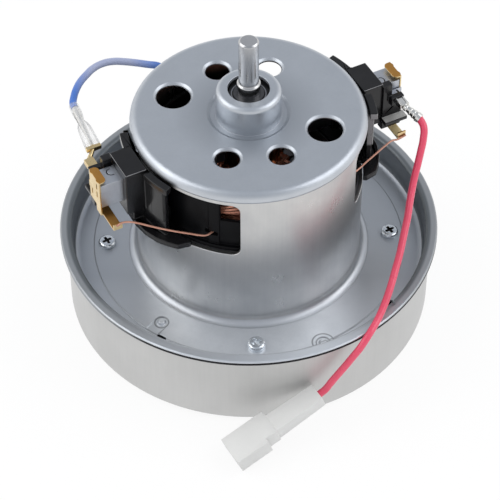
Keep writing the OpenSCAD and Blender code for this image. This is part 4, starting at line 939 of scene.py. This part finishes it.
blue_crimp = softened("blue_terminal", "blue_crimp", 0.15)
BRASS_UNTIL_Y = 18.2
sort_faces(blue_crimp, [BRASS, TIN], lambda c, n, r: TIN if c.y > BRASS_UNTIL_Y else BRASS)

SLEEVE_MOUTH = Vector((-50.4, 16.6, 76.6))
SLEEVE_RUN = (Vector(BLUE_ROUTE[0]) - SLEEVE_MOUTH).normalized()
WAIST_AT, WAIST_L, WAIST = 14.6, 2.6, 0.36
sleeve = softened("blue_sleeve", "blue_clear_sleeve", 0.1)
use(sleeve, "SUBSURF", subdivision_type="SIMPLE", levels=2)
for v in sleeve.data.vertices:
    along = (v.co / MM - SLEEVE_MOUTH).dot(SLEEVE_RUN)
    axis = (SLEEVE_MOUTH + SLEEVE_RUN * along) * MM
    tight = 1 - WAIST * math.exp(-((along - WAIST_AT) / WAIST_L) ** 2)
    v.co = axis + (v.co - axis) * tight
smooth(sleeve, 60)


# Each lead is a cord: what sits on its ends goes with it


# Loose ends of the field winding, behind the near window's edge

LOOSE_STRANDS, LOOSE_D = 9, 0.32
LOOSE_ROUTE = ((268, 26.0, 66.3, 0.0), (258, 30.0, 71.2, 0.5), (246, 32.0, 72.0, 0.62), (238, 32.8, 71.6, 0.5),
               (230, 33.2, 70.6, 0.3), (223, 33.2, 69.8, 0.15))


def loose_strand(k):
    """One strand by angle, radius and height; the last figure is how far the strands fan out there."""
    points = []
    for angle, r, z, fan in LOOSE_ROUTE:
        lift = fan * (k - LOOSE_STRANDS // 2) + 0.35 * fan * math.sin(2.3 * k)
        points.append((*on_ring(r - 0.12 * k, angle + 0.6 * math.sin(1.7 * k)), z + lift))
    return points


strands = [wire("loose_strand", loose_strand(k), LOOSE_D, COPPER, 1, 5) for k in range(LOOSE_STRANDS)]
for strand in strands:
    activate(strand)
    bpy.ops.object.convert(target="MESH")
loose = joined("loose_field_strands", strands)
smooth(loose, 60)
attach(loose, "frame")


# Floor, world and lamps

FLOOR_Z, FLOOR_GLOW = -0.0004, 0.88


def seen_by(tree, rays, *kinds):
    """1 for either of two kinds of ray."""
    return worked_out(tree, "MAXIMUM", *(rays.outputs["Is %s Ray" % kind] for kind in kinds))


def floor():
    """A pale floor that the camera and the metal see nearly white, with the object's shadow on it."""
    bpy.ops.mesh.primitive_plane_add(size=6)
    plane = bpy.context.object
    plane.name = "studio_floor"
    plane.location.z = FLOOR_Z
    settle(plane)
    material = bpy.data.materials.new("studio_floor")
    material.use_nodes = True
    tree = material.node_tree
    shader = tree.nodes["Principled BSDF"]
    shader.inputs["Base Color"].default_value = (0.9, 0.9, 0.9, 1)
    shader.inputs["Roughness"].default_value = 0.9
    shader.inputs["Specular IOR Level"].default_value = 0.0
    glow = tree.nodes.new("ShaderNodeEmission")
    glow.inputs["Color"].default_value = (1, 1, 1, 1)
    rays = tree.nodes.new("ShaderNodeLightPath")
    share = worked_out(tree, "MULTIPLY", seen_by(tree, rays, "Camera", "Glossy"), FLOOR_GLOW)
    mix = tree.nodes.new("ShaderNodeMixShader")
    tree.links.new(share, mix.inputs["Fac"])
    tree.links.new(shader.outputs[0], mix.inputs[1])
    tree.links.new(glow.outputs[0], mix.inputs[2])
    tree.links.new(mix.outputs[0], tree.nodes["Material Output"].inputs["Surface"])
    paint(plane, material)


def studio_world():
    """White where it is seen, an even grey as light, and darker overhead where metal mirrors it."""
    world = bpy.data.worlds.new("studio_world")
    bpy.context.scene.world = world
    world.use_nodes = True
    tree = world.node_tree
    back = tree.nodes["Background"]
    place = tree.nodes.new("ShaderNodeTexCoord")
    split = tree.nodes.new("ShaderNodeSeparateXYZ")
    tree.links.new(place.outputs["Generated"], split.inputs[0])
    height = ranged(tree, split.outputs["Z"], 0.05, 0.75)
    room = mixed(tree, height, (1.0, 1.0, 1.0), (0.46, 0.49, 0.54))
    rays = tree.nodes.new("ShaderNodeLightPath")
    mirrored = mixed(tree, rays.outputs["Is Glossy Ray"], (0.80, 0.81, 0.83), room)
    seen = seen_by(tree, rays, "Camera", "Transmission")
    tree.links.new(mixed(tree, seen, mirrored, (1.0, 1.0, 1.0)), back.inputs["Color"])
    back.inputs["Strength"].default_value = 1.0


LAMP_AIM = (0, 0, 0.05)


def lamp(name, at, size, energy, colour=(1, 1, 1)):
    data = bpy.data.lights.new(name, "AREA")
    data.size = size
    data.energy = energy
    data.color = colour
    piece = linked(name, data)
    piece.location = at
    piece.rotation_euler = facing(at, LAMP_AIM)


floor()
studio_world()
lamp("left_softbox", (-0.74, 0.39, 0.84), 1.0, 5.0, (1.0, 0.99, 0.97))
lamp("right_softbox", (0.74, -0.39, 0.84), 0.9, 4.0)

bpy.context.scene.view_settings.view_transform = "Standard"
